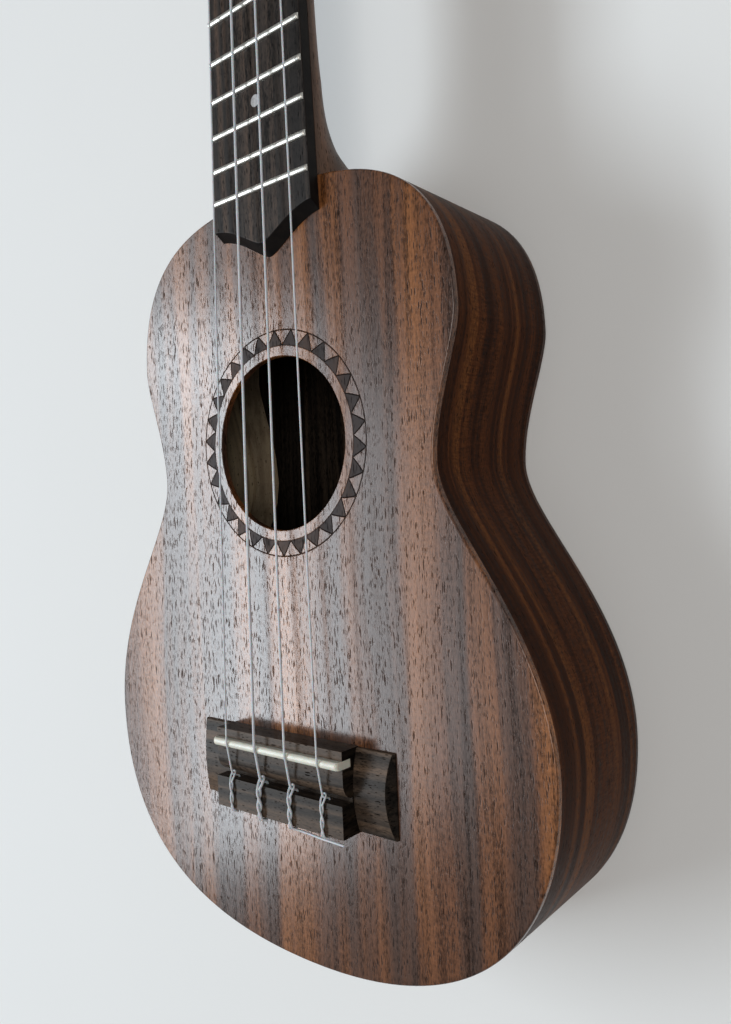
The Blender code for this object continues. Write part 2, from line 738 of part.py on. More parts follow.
def nut_seat(index):
    """Height of a string's centre where it leaves the nut."""
    return BOARD_TOP + NUT_SEAT_RISE + list(STRING_GAUGES.values())[index] / 2 + FINE_GAP


def make_nut():
    """Nut with a rounded top that falls towards the head, notched for the strings."""
    front = NUT_Y + GAP
    rear = front + NUT_THICKNESS
    high = BOARD_TOP + NUT_RISE
    fall = NUT_FALL
    crest = NUT_THICKNESS / 4
    profile = [(front, SEAT), (front, high - crest / 4), (front + crest / 2, high), (front + crest, high)]
    profile += [(rear - crest / 4, high - fall), (rear, high - fall - crest / 2), (rear, SEAT)]
    half = board_half(NUT_Y)
    nut = finish_mesh("nut", loft([[(x, y, z) for y, z in profile] for x in (-half, half)]), BONE)
    cuts = bmesh.new()
    for index, gauge in enumerate(STRING_GAUGES.values()):
        x = string_x(index, NUT_Y)
        wide = gauge / 2 + NUT_NOTCH_SPARE
        rings = []
        for y, seat in ((front - GAP, 0.0), (rear + GAP, fall)):
            floor = BOARD_TOP + NUT_SEAT_RISE - seat
            top = high + NUT_RISE
            narrow = wide / 2
            ring = [(x - narrow, y, floor), (x + narrow, y, floor), (x + wide, y, top), (x - wide, y, top)]
            rings.append(ring)
        add_loft(cuts, rings)
    combine(nut, tool("nut_notches", cuts), "DIFFERENCE")


def wing_height(y):
    """Top of a bridge wing across its width: an even crown between two thin edges."""
    middle = (RIDGE_FRONT_Y + TIE_REAR_Y) / 2
    across = (y - middle) / (RIDGE_FRONT_Y - WING_INSET - middle)
    return WING_EDGE + (WING_CROWN - WING_EDGE) * (1 - across * across)


def bridge_profile():
    """(y, height) points over the bridge's centre: ridge, saddle slot, ramp, channel and tie block."""
    slot = SADDLE_THICKNESS / 2 + GAP
    floor = CHANNEL_HEIGHT
    profile = [(RIDGE_FRONT_Y, RIDGE_HEIGHT)]
    profile += [(SADDLE_Y + slot, RIDGE_HEIGHT), (SADDLE_Y + slot, floor)]
    profile += [(SADDLE_Y - slot, floor), (SADDLE_Y - slot, RIDGE_HEIGHT)]
    for i in range(RAMP_STEPS + 1):
        turn = math.pi / 2 * i / RAMP_STEPS
        fall = (RIDGE_HEIGHT - floor) * (1 - math.cos(turn))
        profile.append((RAMP_TOP_Y - RAMP_WIDTH * math.sin(turn), RIDGE_HEIGHT - fall))
    profile += [(TIE_FRONT_Y, floor), (TIE_FRONT_Y, TIE_HEIGHT - TIE_CHAMFER)]
    profile += [(TIE_FRONT_Y - TIE_CHAMFER, TIE_HEIGHT), (TIE_REAR_Y + TIE_CHAMFER, TIE_HEIGHT)]
    profile.append((TIE_REAR_Y, TIE_HEIGHT - TIE_CHAMFER))
    return profile


def make_bridge():
    """Tie bridge lofted along x: thin crowned wings that step up to the ridge and the tie block."""
    centre = bridge_profile()
    middle = (RIDGE_FRONT_Y + TIE_REAR_Y) / 2
    narrowing = 1 - WING_INSET / (RIDGE_FRONT_Y - middle)
    across = [middle + (y - middle) * narrowing for y, z in centre]
    wing = [(y, wing_height(y)) for y in across]

    def ring(x, tops, slope):
        points = [(x - math.copysign(slope * z, x), y, SEAT + z) for y, z in tops]
        return [(points[0][0], RIDGE_FRONT_Y, SEAT), *points, (points[-1][0], TIE_REAR_Y, SEAT)]

    rings = []
    for side in (-1, 1):
        foot = ring(side * BRIDGE_HALF, [(y, WING_FOOT) for y in across], 0)
        shoulder = ring(side * BRIDGE_HALF, wing, WING_FACET_SLOPE)
        part = [foot, shoulder, ring(side * CENTRE_HALF, wing, 0), ring(side * CENTRE_HALF, centre, 0)]
        rings += part if side < 0 else part[::-1]
    shape = loft(rings)
    bmesh.ops.remove_doubles(shape, verts=shape.verts[:], dist=1e-6)
    bridge = finish_mesh("bridge", shape, WOOD_DARK)
    holes = bmesh.new()
    for index in range(len(STRING_GAUGES)):
        x = string_x(index, SADDLE_Y)
        z = SEAT + TIE_HOLE_HEIGHT
        start = (x, TIE_REAR_Y - GAP, z)
        add_cylinder(holes, start, (x, TIE_FRONT_Y + GAP, z), TIE_HOLE_RADIUS, TIE_HOLE_SIDES, "Y")
    combine(bridge, tool("tie_holes", holes), "DIFFERENCE")


def make_saddle():
    """Saddle with a rounded crest and rounded top corners."""
    low = SEAT + CHANNEL_HEIGHT + GAP
    high = TOP + SADDLE_HEIGHT
    half_thick = SADDLE_THICKNESS / 2
    crest = SADDLE_THICKNESS / 3
    rings = []
    flat = SADDLE_HALF - crest
    for x, drop in ((-SADDLE_HALF, crest), (-flat, 0), (flat, 0), (SADDLE_HALF, crest)):
        ring = [(x, SADDLE_Y + half_thick, low)]
        for i in range(CREST_STEPS + 1):
            turn = math.pi * i / CREST_STEPS
            level = high - drop - crest * (1 - math.sin(turn))
            ring.append((x, SADDLE_Y + half_thick * math.cos(turn), level))
        rings.append([*ring, (x, SADDLE_Y - half_thick, low)])
    finish_mesh("saddle", loft(rings), BONE)


def tie_route(index, radius):
    """String from the saddle through the tie block, back over it, round itself and twisted to the rear."""
    x = string_x(index, SADDLE_Y)
    over = radius + FINE_GAP
    top = SEAT + TIE_HEIGHT
    hole = SEAT + TIE_HOLE_HEIGHT
    apart = radius + WRAP_SPACE / 2
    middle = top + over + apart
    crest = TOP + SADDLE_HEIGHT + over
    front = TIE_FRONT_Y
    rear = TIE_REAR_Y - over
    points = [(x, SADDLE_Y, crest), (x, SADDLE_Y - SADDLE_THICKNESS / 2, crest - over)]
    points += [(x, front + ahead, top - below) for ahead, below in TIE_DROP]
    points.append((x, front + TIE_HOLE_APPROACH, hole + TIE_HOLE_RADIUS))
    points += [(x, front + RUN_GAP, hole), (x, TIE_REAR_Y - RUN_GAP, hole)]
    points.append((x - apart / 3, rear - TWIST_END, hole + TWIST_END))
    points += [(x - apart, rear - TWIST_END, top - TIE_HOLE_RADIUS), (x - apart, rear, middle - RUN_GAP)]
    points += twist(x, middle, apart, math.pi)
    wide = radius * 2 + WRAP_SPACE
    closed = TIE_DROP[-1][0] + radius * 2 + EYE_SPACE
    eye = ((1.0, EYE_START, 0.0), (0.9, closed * 0.7, EYE_DROP), (0.45, closed, wide + FINE_GAP))
    points += [(x + wide * out, front + ahead, top - below) for out, ahead, below in eye]
    points += [(x - wide * out, front + ahead, top - below) for out, ahead, below in reversed(eye)]
    points += twist(x, middle, apart, 0)[::-1]
    points.append((x + apart, rear, middle - RUN_GAP * 2))
    points.append((x + apart + TWIST_END, rear - TWIST_END, top - TAIL_DROP))
    return points


def twist(x, middle, apart, phase):
    """One strand of the twisted pair over the tie block, from its rear edge to its front edge."""
    strand = []
    for i in range(TWIST_STEPS + 1):
        turn = phase + math.tau * TWIST_TURNS * i / TWIST_STEPS
        y = TIE_REAR_Y + TWIST_END + (TIE_WIDTH - 2 * TWIST_END) * i / TWIST_STEPS
        strand.append((x + apart * math.cos(turn), y, middle + apart * math.sin(turn)))
    return strand


def post_route(name, radius):
    """String from the nut to its post: once it meets the post it winds up to the cross hole."""
    along, out, side = TUNER_PLACES[name]
    wind = POST_WAIST_RADIUS + radius + RUN_GAP
    pitch = 2 * radius + WRAP_SPACE
    level = POST_WAIST_LOW + pitch
    points = []
    for i in range(round((WRAP_TURNS - 0.375) * WRAP_STEPS) + 1):
        turn = math.pi - math.tau * i / WRAP_STEPS
        height = level + pitch * i / WRAP_STEPS
        points.append((wind * math.cos(turn), wind * math.sin(turn), height))
    bend = POST_HOLE_SPARE + radius
    hole = post_hole_level(radius)
    mouth = wind - bend * 0.3
    for i in range(4):
        turn = math.pi / 2 * (1 - i / 3)
        points.append((bend * (math.cos(turn) - 1), mouth + bend * math.sin(turn), hole))
    points.append((0, -(POST_RADIUS + STRING_TAIL), hole))
    if side < 0:
        points = [(-x, y, z) for x, y, z in points]
    return [HEAD_FRAME @ Vector((side * out + x, along + y, z)) for x, y, z in points]


def post_hole_level(radius):
    """Height of the post's cross hole over the head, one free pitch above the last wrap."""
    pitch = 2 * radius + WRAP_SPACE
    return POST_WAIST_LOW + pitch * (WRAP_TURNS + 1.4)


def make_string(index, name, gauge):
    """One string, from its tie at the bridge to its end in the post, as a tube of its gauge."""
    radius = gauge / 2
    seat = nut_seat(index)
    rear = NUT_Y + GAP + NUT_THICKNESS
    x_nut = string_x(index, NUT_Y)
    route = list(reversed(tie_route(index, radius)))
    if name == "e":
        route = tail_route(radius) + route[2:]
    route.append((x_nut, NUT_Y + GAP, seat))
    route.append((x_nut, rear - NUT_FALL / 2, seat - NUT_FALL * 0.75))
    route += post_route(name, radius)
    curve = bpy.data.curves.new(f"string_{name}", "CURVE")
    curve.dimensions = "3D"
    curve.bevel_depth = radius
    curve.bevel_resolution = 1
    curve.use_fill_caps = True
    spline = curve.splines.new("POLY")
    spline.points.add(len(route) - 1)
    for point, place in zip(spline.points, route):
        point.co = (*place, 1)
    curve.materials.append(material(f"string_{name}", NYLON))
    add_object(f"string_{name}", curve)
    print(f"string_{name}: least gap to itself {least_gap(route, gauge) * 1000:.2f} mm")


def tail_route(radius):
    """Loose tail of the third string, lying along the rear edge of the tie block to its treble end."""
    over = radius + FINE_GAP
    level = SEAT + TIE_HEIGHT - TAIL_DROP
    x_own = string_x(2, SADDLE_Y) + radius + WRAP_SPACE / 2
    x_next = string_x(3, SADDLE_Y)
    beside = STRING_GAUGES["a"] / 2 + WRAP_SPACE * 3
    clear = TIE_REAR_Y - TWIST_END - STRING_GAUGES["a"] * 1.5 - WRAP_SPACE - over
    points = [(CENTRE_HALF - WRAP_SPACE, clear, level), (x_next + beside, clear, level)]
    points.append((x_next - beside, clear, level))
    points.append((x_own + WRAP_SPACE * 5, TIE_REAR_Y - over - TWIST_END * 1.7, level))
    points.append((x_own + TWIST_END, TIE_REAR_Y - over - RUN_GAP, SEAT + TIE_HEIGHT - TWIST_END))
    return points


def least_gap(route, gauge):
    """Least free space of a tube to itself, measured between points far apart along it."""
    dense = []
    for a, b in zip(route, route[1:]):
        a = Vector(a)
        b = Vector(b)
        pieces = max(1, math.ceil((b - a).length / (gauge / 2)))
        dense += [a.lerp(b, i / pieces) for i in range(pieces)]
    travelled = [0.0]
    for a, b in zip(dense, dense[1:]):
        travelled.append(travelled[-1] + (b - a).length)
    least = math.inf
    reach = gauge * 4
    for i, a in enumerate(dense):
        for j in range(i + 1, len(dense)):
            if travelled[j] - travelled[i] > reach:
                least = min(least, (dense[j] - a).length - gauge)
    return least


def tooth_half(pitch_half, height):
    """Half thickness of a tooth at a height over its pitch line."""
    return pitch_half - height * math.tan(PRESSURE_ANGLE)


def wheel_rings(side):
    """Tooth outlines of the worm wheel at its two faces, twisted by the worm's lead."""
    pitch_half = WORM_LEAD / 4 - TOOTH_BACKLASH / 2
    lead_slope = WORM_LEAD / (math.tau * WORM_PITCH_RADIUS)
    rings = []
    for end in (-1, 1):
        twist = side * end * WHEEL_WIDTH / 2 * lead_slope / WHEEL_PITCH_RADIUS
        ring = []
        for tooth in range(WHEEL_TEETH):
            middle = math.pi / 2 + math.tau * (tooth + 0.5) / WHEEL_TEETH + twist
            flank = [(-TOOTH_DEDENDUM, -1), (TOOTH_ADDENDUM, -1), (TOOTH_ADDENDUM, 1), (-TOOTH_DEDENDUM, 1)]
            for height, way in flank:
                radius = WHEEL_PITCH_RADIUS + height
                turn = middle + way * tooth_half(pitch_half, height) / radius
                level = WORM_LEVEL + end * WHEEL_WIDTH / 2
                ring.append((radius * math.cos(turn), radius * math.sin(turn), level))
        rings.append(ring)
    return rings


def make_post(name, parent, radius, side):
    """String post with its worm wheel fixed on its lower end."""
    wheel_top = WORM_LEVEL + WHEEL_WIDTH / 2 - GAP
    wheel_low = WORM_LEVEL - WHEEL_WIDTH / 2
    hub = WHEEL_PITCH_RADIUS - TOOTH_DEDENDUM - GAP
    hole = post_hole_level(radius)
    bore = radius + POST_HOLE_SPARE
    waist_top = hole + bore + GAP
    cap_top = max(POST_HEIGHT, waist_top + POST_CAP_HEIGHT)
    hub_top = PLATE_BACK - RUN_GAP
    profile = [(wheel_low - POST_FOOT, POST_WAIST_RADIUS), (wheel_top, POST_WAIST_RADIUS), (wheel_top, hub)]
    profile += [(hub_top, hub), (hub_top, POST_RADIUS), (POST_WAIST_LOW, POST_RADIUS)]
    profile += [(POST_WAIST_LOW + POST_SHOULDER, POST_WAIST_RADIUS), (waist_top, POST_WAIST_RADIUS)]
    profile += [(waist_top + POST_SHOULDER, POST_CAP), (cap_top - POST_CAP_ROUND, POST_CAP)]
    profile.append((cap_top, POST_CAP - POST_CAP_ROUND))
    post = finish_mesh(f"tuner_post_{name}", turned(profile, POST_SIDES), BRASS, parent)
    combine(post, tool(f"wheel_join_{name}", loft(wheel_rings(side)), parent), "UNION")
    drill = bmesh.new()
    reach = POST_RADIUS * 2
    add_cylinder(drill, (0, -reach, hole), (0, reach, hole), bore, BORE_SIDES, "Y")
    combine(post, tool(f"post_drill_{name}", drill, parent), "DIFFERENCE")


def make_worm(name, parent, side, shaft_end):
    """Worm shaft: a single thread on a plain shaft, with a collar outside the outer ear."""
    inner_end = -(EAR_ROOM + EAR_THICKNESS + WORM_END)
    collar = EAR_ROOM + EAR_THICKNESS + RUN_GAP
    profile = [(inner_end, WORM_ROOT_RADIUS), (collar, WORM_ROOT_RADIUS), (collar, COLLAR_RADIUS)]
    profile += [(collar + COLLAR_LENGTH, COLLAR_RADIUS), (collar + COLLAR_LENGTH, WORM_ROOT_RADIUS)]
    profile.append((shaft_end, WORM_ROOT_RADIUS))
    shaft = turned([(side * x, r) for x, r in profile], WORM_STEPS, "X")
    worm = finish_mesh(f"tuner_worm_{name}", shaft, NICKEL, parent)

    pitch_half = WORM_LEAD / 4 - TOOTH_BACKLASH / 2
    sunk = WORM_ROOT_RADIUS - RUN_GAP
    rings = []
    steps = round(WORM_TURNS * WORM_STEPS)
    for i in range(steps + 1):
        along = (i - steps / 2) / WORM_STEPS
        turn = math.pi + math.tau * along
        ring = []
        for r, way in ((sunk, -1), (WORM_TIP_RADIUS, -1), (WORM_TIP_RADIUS, 1), (sunk, 1)):
            x = WORM_LEAD * along + way * tooth_half(pitch_half, r - WORM_PITCH_RADIUS)
            ring.append((side * x, r * math.cos(turn), r * math.sin(turn)))
        rings.append(ring)
    combine(worm, tool(f"thread_join_{name}", loft(rings), parent), "UNION")


def make_tuner_plate(name, parent):
    """Mounting plate on the back of the head, with two ears that carry the worm shaft."""
    outline = []
    for cx, cy, start in ((1, 1, 0), (-1, 1, 1), (-1, -1, 2), (1, -1, 3)):
        y_end = PLATE_NOSE if cy > 0 else -PLATE_TAIL
        for i in range(3):
            turn = math.pi / 2 * (start + i / 2)
            x = cx * (PLATE_HALF - PLATE_CORNER) + PLATE_CORNER * math.cos(turn)
            outline.append((x, y_end - cy * PLATE_CORNER + PLATE_CORNER * math.sin(turn)))
    shape = prism(outline, PLATE_BACK, PLATE_BACK + TUNER_PLATE_THICKNESS)
    plate = finish_mesh(f"tuner_plate_{name}", shape, NICKEL, parent)

    ears = bmesh.new()
    for way in (-1, 1):
        rings = []
        for x in (way * EAR_ROOM, way * (EAR_ROOM + EAR_THICKNESS)):
            ring = [(x, WORM_OFFSET + EAR_RADIUS, PLATE_BACK + TUNER_PLATE_THICKNESS / 2)]
            for i in range(7):
                turn = -math.pi * i / 6
                y = WORM_OFFSET + EAR_RADIUS * math.cos(turn)
                ring.append((x, y, WORM_LEVEL + EAR_RADIUS * math.sin(turn)))
            ring.append((x, WORM_OFFSET - EAR_RADIUS, PLATE_BACK + TUNER_PLATE_THICKNESS / 2))
            rings.append(ring)
        add_loft(ears, rings)
    combine(plate, tool(f"ears_join_{name}", ears, parent), "UNION")
    bores = bmesh.new()
    bore_end = EAR_ROOM + EAR_THICKNESS * 2
    bore = WORM_ROOT_RADIUS + RUN_GAP
    start = (-bore_end, WORM_OFFSET, WORM_LEVEL)
    add_cylinder(bores, start, (bore_end, WORM_OFFSET, WORM_LEVEL), bore, BORE_SIDES, "X")
    below = PLATE_BACK - TUNER_PLATE_THICKNESS
    above = PLATE_BACK + TUNER_PLATE_THICKNESS * 2
    add_cylinder(bores, (0, 0, below), (0, 0, above), POST_RADIUS + GAP, POST_SIDES)
    combine(plate, tool(f"plate_bores_{name}", bores, parent), "DIFFERENCE")


def make_button(name, parent, side, start):
    """Flattened knob pressed on the worm shaft, with a blind socket."""
    rings = []
    shares = ((0.0, 0.50, 0.60), (0.12, 0.80, 0.88), (0.45, 1.0, 1.0), (0.85, 0.93, 0.90), (1.0, 0.66, 0.60))
    for along, wide, thick in shares:
        x = side * (start + BUTTON_LENGTH * along)
        ring = []
        for i in range(BUTTON_SIDES):
            turn = math.tau * i / BUTTON_SIDES
            y = BUTTON_HALF_LONG * wide * math.cos(turn)
            ring.append((x, y, BUTTON_HALF_THICK * thick * math.sin(turn)))
        rings.append(ring)
    button = finish_mesh(f"tuner_button_{name}", loft(rings), IVORY_PLASTIC, parent)
    socket = bmesh.new()
    deep = side * (start + BUTTON_SOCKET)
    radius = WORM_ROOT_RADIUS + FINE_GAP
    add_cylinder(socket, (side * (start - GAP), 0, 0), (deep, 0, 0), radius, BORE_SIDES, "X")
    combine(button, tool(f"button_socket_{name}", socket, parent), "DIFFERENCE")


def make_bush(name, parent):
    """Flanged bush that guides the post through the front of the head."""
    bore = POST_RADIUS + RUN_GAP
    outer = bore + BUSH_SLEEVE
    face = GAP + BUSH_FLANGE_HEIGHT
    section = [(-BUSH_LENGTH, bore), (-BUSH_LENGTH, outer), (GAP, outer), (GAP, BUSH_FLANGE_RADIUS)]
    section += [(face - GAP, BUSH_FLANGE_RADIUS), (face, BUSH_FLANGE_RADIUS - GAP * 2), (face, bore)]
    shape = bmesh.new()
    rows = [[shape.verts.new(point) for point in ring_around((0, 0, z), r, POST_SIDES)] for z, r in section]
    for row, following in zip(rows, rows[1:] + rows[:1]):
        for i in range(POST_SIDES):
            j = (i + 1) % POST_SIDES
            shape.faces.new((row[i], row[j], following[j], following[i]))
    finish_mesh(f"tuner_bush_{name}", shape, NICKEL, parent)


def make_tuner(name, gauge, head):
    """One geared tuner on the headstock."""
    along, out, side = TUNER_PLACES[name]
    post_axis = add_object(f"post_axis_{name}", None, head, (side * out, along, 0))
    worm_axis = add_object(f"worm_axis_{name}", None, post_axis, (0, WORM_OFFSET, WORM_LEVEL))
    button_start = head_half(along + WORM_OFFSET) - out + BUTTON_CLEARANCE
    make_bush(name, post_axis)
    make_tuner_plate(name, post_axis)
    make_post(name, post_axis, gauge / 2, side)
    make_worm(name, worm_axis, side, button_start + BUTTON_SOCKET - GAP)
    make_button(name, worm_axis, side, button_start)


def clear_scene():
    for old in list(bpy.data.objects):
        bpy.data.objects.remove(old, do_unlink=True)


def move_to_middle():
    """Hang everything on one empty, with the origin under the middle of the overall length."""
    end = HEAD_FRAME @ Vector((0, HEAD_LENGTH, 0))
    middle = (end.y - BODY_LENGTH) / 2
    frame = add_object("instrument", None, None, (0, -middle, 0))
    for piece in list(bpy.data.objects):
        if piece.parent is None and piece != frame:
            piece.parent = frame
    print(f"shift along y {-middle:.6f}, overall length {end.y + BODY_LENGTH:.4f}")


def main():
    clear_scene()
    make_soundboard()
    make_plate("back_panel", 0, PLATE_THICKNESS)
    for name, side in (("bass", -1), ("treble", 1)):
        make_side(f"side_{name}", side)
        make_lining(f"top_lining_{name}", side, True)
        make_lining(f"back_lining_{name}", side, False)
    make_neck_block()
    make_tail_block()
    for name, y in TOP_BRACES.items():
        make_brace(name, y, True)
    for name, y in BACK_BRACES.items():
        make_brace(name, y, False)
    make_bridge_plate()
    make_heel_cap(make_neck())
    make_fretboard()
    for number in range(1, FRET_COUNT + 1):
        make_fret(number)
    for number in DOTTED_FRETS:
        make_dot(number)
    make_nut()
    make_bridge()
    make_saddle()
    head = add_object("head_frame", None)
    head.matrix_local = HEAD_FRAME
    for index, (name, gauge) in enumerate(STRING_GAUGES.items()):
        make_string(index, name, gauge)
        make_tuner(name, gauge, head)
    move_to_middle()


main()
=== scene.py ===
from math import copysign, cos, exp, log, pi, radians, sin, tan, tau

import bmesh
import bpy
from mathutils import Matrix, Vector


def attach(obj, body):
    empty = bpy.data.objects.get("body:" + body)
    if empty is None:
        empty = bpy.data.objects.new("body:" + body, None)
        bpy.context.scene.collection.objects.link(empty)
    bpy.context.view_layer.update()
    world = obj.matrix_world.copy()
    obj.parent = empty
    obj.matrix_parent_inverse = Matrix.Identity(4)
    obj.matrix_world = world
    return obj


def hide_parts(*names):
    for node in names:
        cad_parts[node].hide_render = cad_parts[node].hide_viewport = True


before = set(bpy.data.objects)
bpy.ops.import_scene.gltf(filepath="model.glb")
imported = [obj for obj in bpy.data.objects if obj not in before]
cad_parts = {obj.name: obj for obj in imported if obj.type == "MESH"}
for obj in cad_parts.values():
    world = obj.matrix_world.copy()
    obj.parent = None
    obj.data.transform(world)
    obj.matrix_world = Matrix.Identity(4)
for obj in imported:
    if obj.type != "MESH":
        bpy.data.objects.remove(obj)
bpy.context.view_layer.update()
scene = bpy.context.scene

# Everything is laid out with y = 0 at the joint of neck and body, then slid along y with the whole instrument.
layout = dict(scaleLength=0.345, bodyDepth=0.052, plate=0.002, boardTop=0.0558, slide=-0.016079)
top, boardTop, nutY = layout["bodyDepth"], layout["boardTop"], layout["scaleLength"] / 2
stringNames = ("g", "c", "e", "a")


# Node helpers

building = {"tree": None}  # the node tree that the next calls add to


def connect(value, socket):
    if isinstance(value, bpy.types.NodeSocket):
        building["tree"].links.new(value, socket)
    else:
        socket.default_value = (*value, 1.0) if socket.type == "RGBA" else value


def addNode(kind, inputs=None, **settings):
    made = building["tree"].nodes.new("ShaderNode" + kind)
    for key, value in settings.items():
        setattr(made, key, value)
    for key, value in (inputs or {}).items():
        connect(value, made.inputs[key])
    return made


def calc(operation, *values, clamp=False):
    return addNode("Math", dict(enumerate(values)), operation=operation, use_clamp=clamp).outputs[0]


def folded(operation):
    def combine(first, *others, clamp=False):
        for other in others:
            first = calc(operation, first, other, clamp=clamp)
        return first
    return combine


plus, minus, times, divided, larger = map(folded, ("ADD", "SUBTRACT", "MULTIPLY", "DIVIDE", "MAXIMUM"))


def fade(value, low, high):
    inputs = {"Value": value, "From Min": low, "From Max": high}
    return addNode("MapRange", inputs, interpolation_type="SMOOTHSTEP").outputs["Result"]


def blendColour(share, first, second):
    return addNode("Mix", {"Factor": share, 6: first, 7: second}, data_type="RGBA").outputs[2]


def stretched(vector, scale):
    return addNode("VectorMath", {0: vector, 1: scale}, operation="MULTIPLY").outputs[0]


def scaled(vector, gain):
    return addNode("VectorMath", {0: vector, "Scale": gain}, operation="SCALE").outputs[0]


def parted(vector):
    return addNode("SeparateXYZ", {0: vector}).outputs


def joined(x, y, z):
    return addNode("CombineXYZ", {0: x, 1: y, 2: z}).outputs[0]


def noise(vector, detail=2.0, roughness=0.5, distortion=0.0):
    inputs = {"Vector": vector, "Scale": 1.0, "Detail": detail, "Roughness": roughness, "Distortion": distortion}
    return addNode("TexNoise", inputs).outputs["Fac"]


def newGroup(name, inputs, outputs):
    tree = building["tree"] = bpy.data.node_groups.new(name, "ShaderNodeTree")
    kinds = {type(None): "NodeSocketVector", tuple: "NodeSocketColor", float: "NodeSocketFloat"}
    for label, value in inputs.items():
        made = tree.interface.new_socket(label, in_out="INPUT", socket_type=kinds[type(value)])
        if value is not None:
            made.default_value = (*value, 1.0) if type(value) is tuple else value
    for label in outputs:
        kind = kinds[tuple if label == "Color" else float]
        tree.interface.new_socket(label, in_out="OUTPUT", socket_type=kind)
    return tree, tree.nodes.new("NodeGroupInput").outputs, tree.nodes.new("NodeGroupOutput").inputs


# Wood: bands across the grain, fine streaks, open pores and a cross figure

lookKeys = ("Dark", "Middle", "Light", "Band", "Pores", "Pore Length", "Cross Figure", "Streaks")
woodLooks = {  # values in the order of the keys
    "board": ((0.058, 0.029, 0.019), (0.12, 0.045, 0.018), (0.22, 0.08, 0.021), 0.0105, 0.9, 0.0068, 0.9, 1.5),
    # rib and back: a dark stained wood, made darker still as painted shade on the sides
    "rib": ((0.021, 0.006, 0.0018), (0.052, 0.0155, 0.0045), (0.108, 0.037, 0.01), 0.005, 0.35, 0.0045, 2.2, 1.6),
    "back": ((0.021, 0.006, 0.0018), (0.052, 0.0155, 0.0045), (0.108, 0.037, 0.01), 0.011, 0.35, 0.0045, 2.2, 1.6),
    "neck": ((0.05, 0.025, 0.014), (0.082, 0.04, 0.021), (0.12, 0.056, 0.028), 0.009, 0.3, 0.005, 0.3, 0.8),
    "dark": ((0.009, 0.0068, 0.0058), (0.023, 0.0165, 0.013), (0.056, 0.035, 0.024), 0.0026, 0.12, 0.0045, 0.2,
             2.4),
    "bridge": ((0.022, 0.016, 0.012), (0.056, 0.039, 0.028), (0.115, 0.073, 0.046), 0.0034, 0.3, 0.0045, 0.2, 1.5),
    # near-black look: painted shade, used on the bridge's end faces and on the inner face of the back
    "end": ((0.006, 0.0045, 0.0035), (0.013, 0.0095, 0.007), (0.026, 0.017, 0.011), 0.0026, 0.3, 0.0045, 0.2, 2.4),
    "raw": ((0.26, 0.19, 0.12), (0.34, 0.26, 0.17), (0.4, 0.31, 0.2), 0.0022, 0.1, 0.003, 0.1, 0.4),
    # pale unfinished wood made paler still: painted light, falling in through the soundhole onto the ribs' inner
    # faces
    "litInside": ((0.44, 0.34, 0.22), (0.56, 0.44, 0.29), (0.62, 0.5, 0.33), 0.0022, 0.1, 0.003, 0.1, 0.4),
}
woodForm = dict(
    wanderSize=(9.0, 5.0, 9.0), wander=0.016, bandRun=3.2, darkFade=(0.36, 0.56), lightFade=(0.46, 0.64),
    warmSize=(0.45, 0.7, 0.45), warmFade=(0.35, 0.6), streakSize=(620.0, 16.0, 620.0), fibreSize=(3.6, 32.0, 3.6),
    crossSize=(330.0, 1350.0, 330.0), crossPatch=(60.0, 14.0, 60.0), crossFade=(0.35, 0.62),
    poreWidths=(0.7, 0.65), poreEdge=(1.25, 0.75), poreDepths=(0.3, 0.7), poreShade=0.93, hollowShade=0.9,
    deepest=0.25, poreDull=0.8, poreRough=0.3, lineRough=0.1, lineHeight=0.12)
poreLayers = (  # cell across the grain, share of the length, shift, thickness and density
    (0.00085, 1.0, 0.0, 0.19, 1.1),
    (0.00065, 0.62, 0.31, 0.2, 1.2),
    (0.0005, 0.4, 0.77, 0.19, 1.3),
)


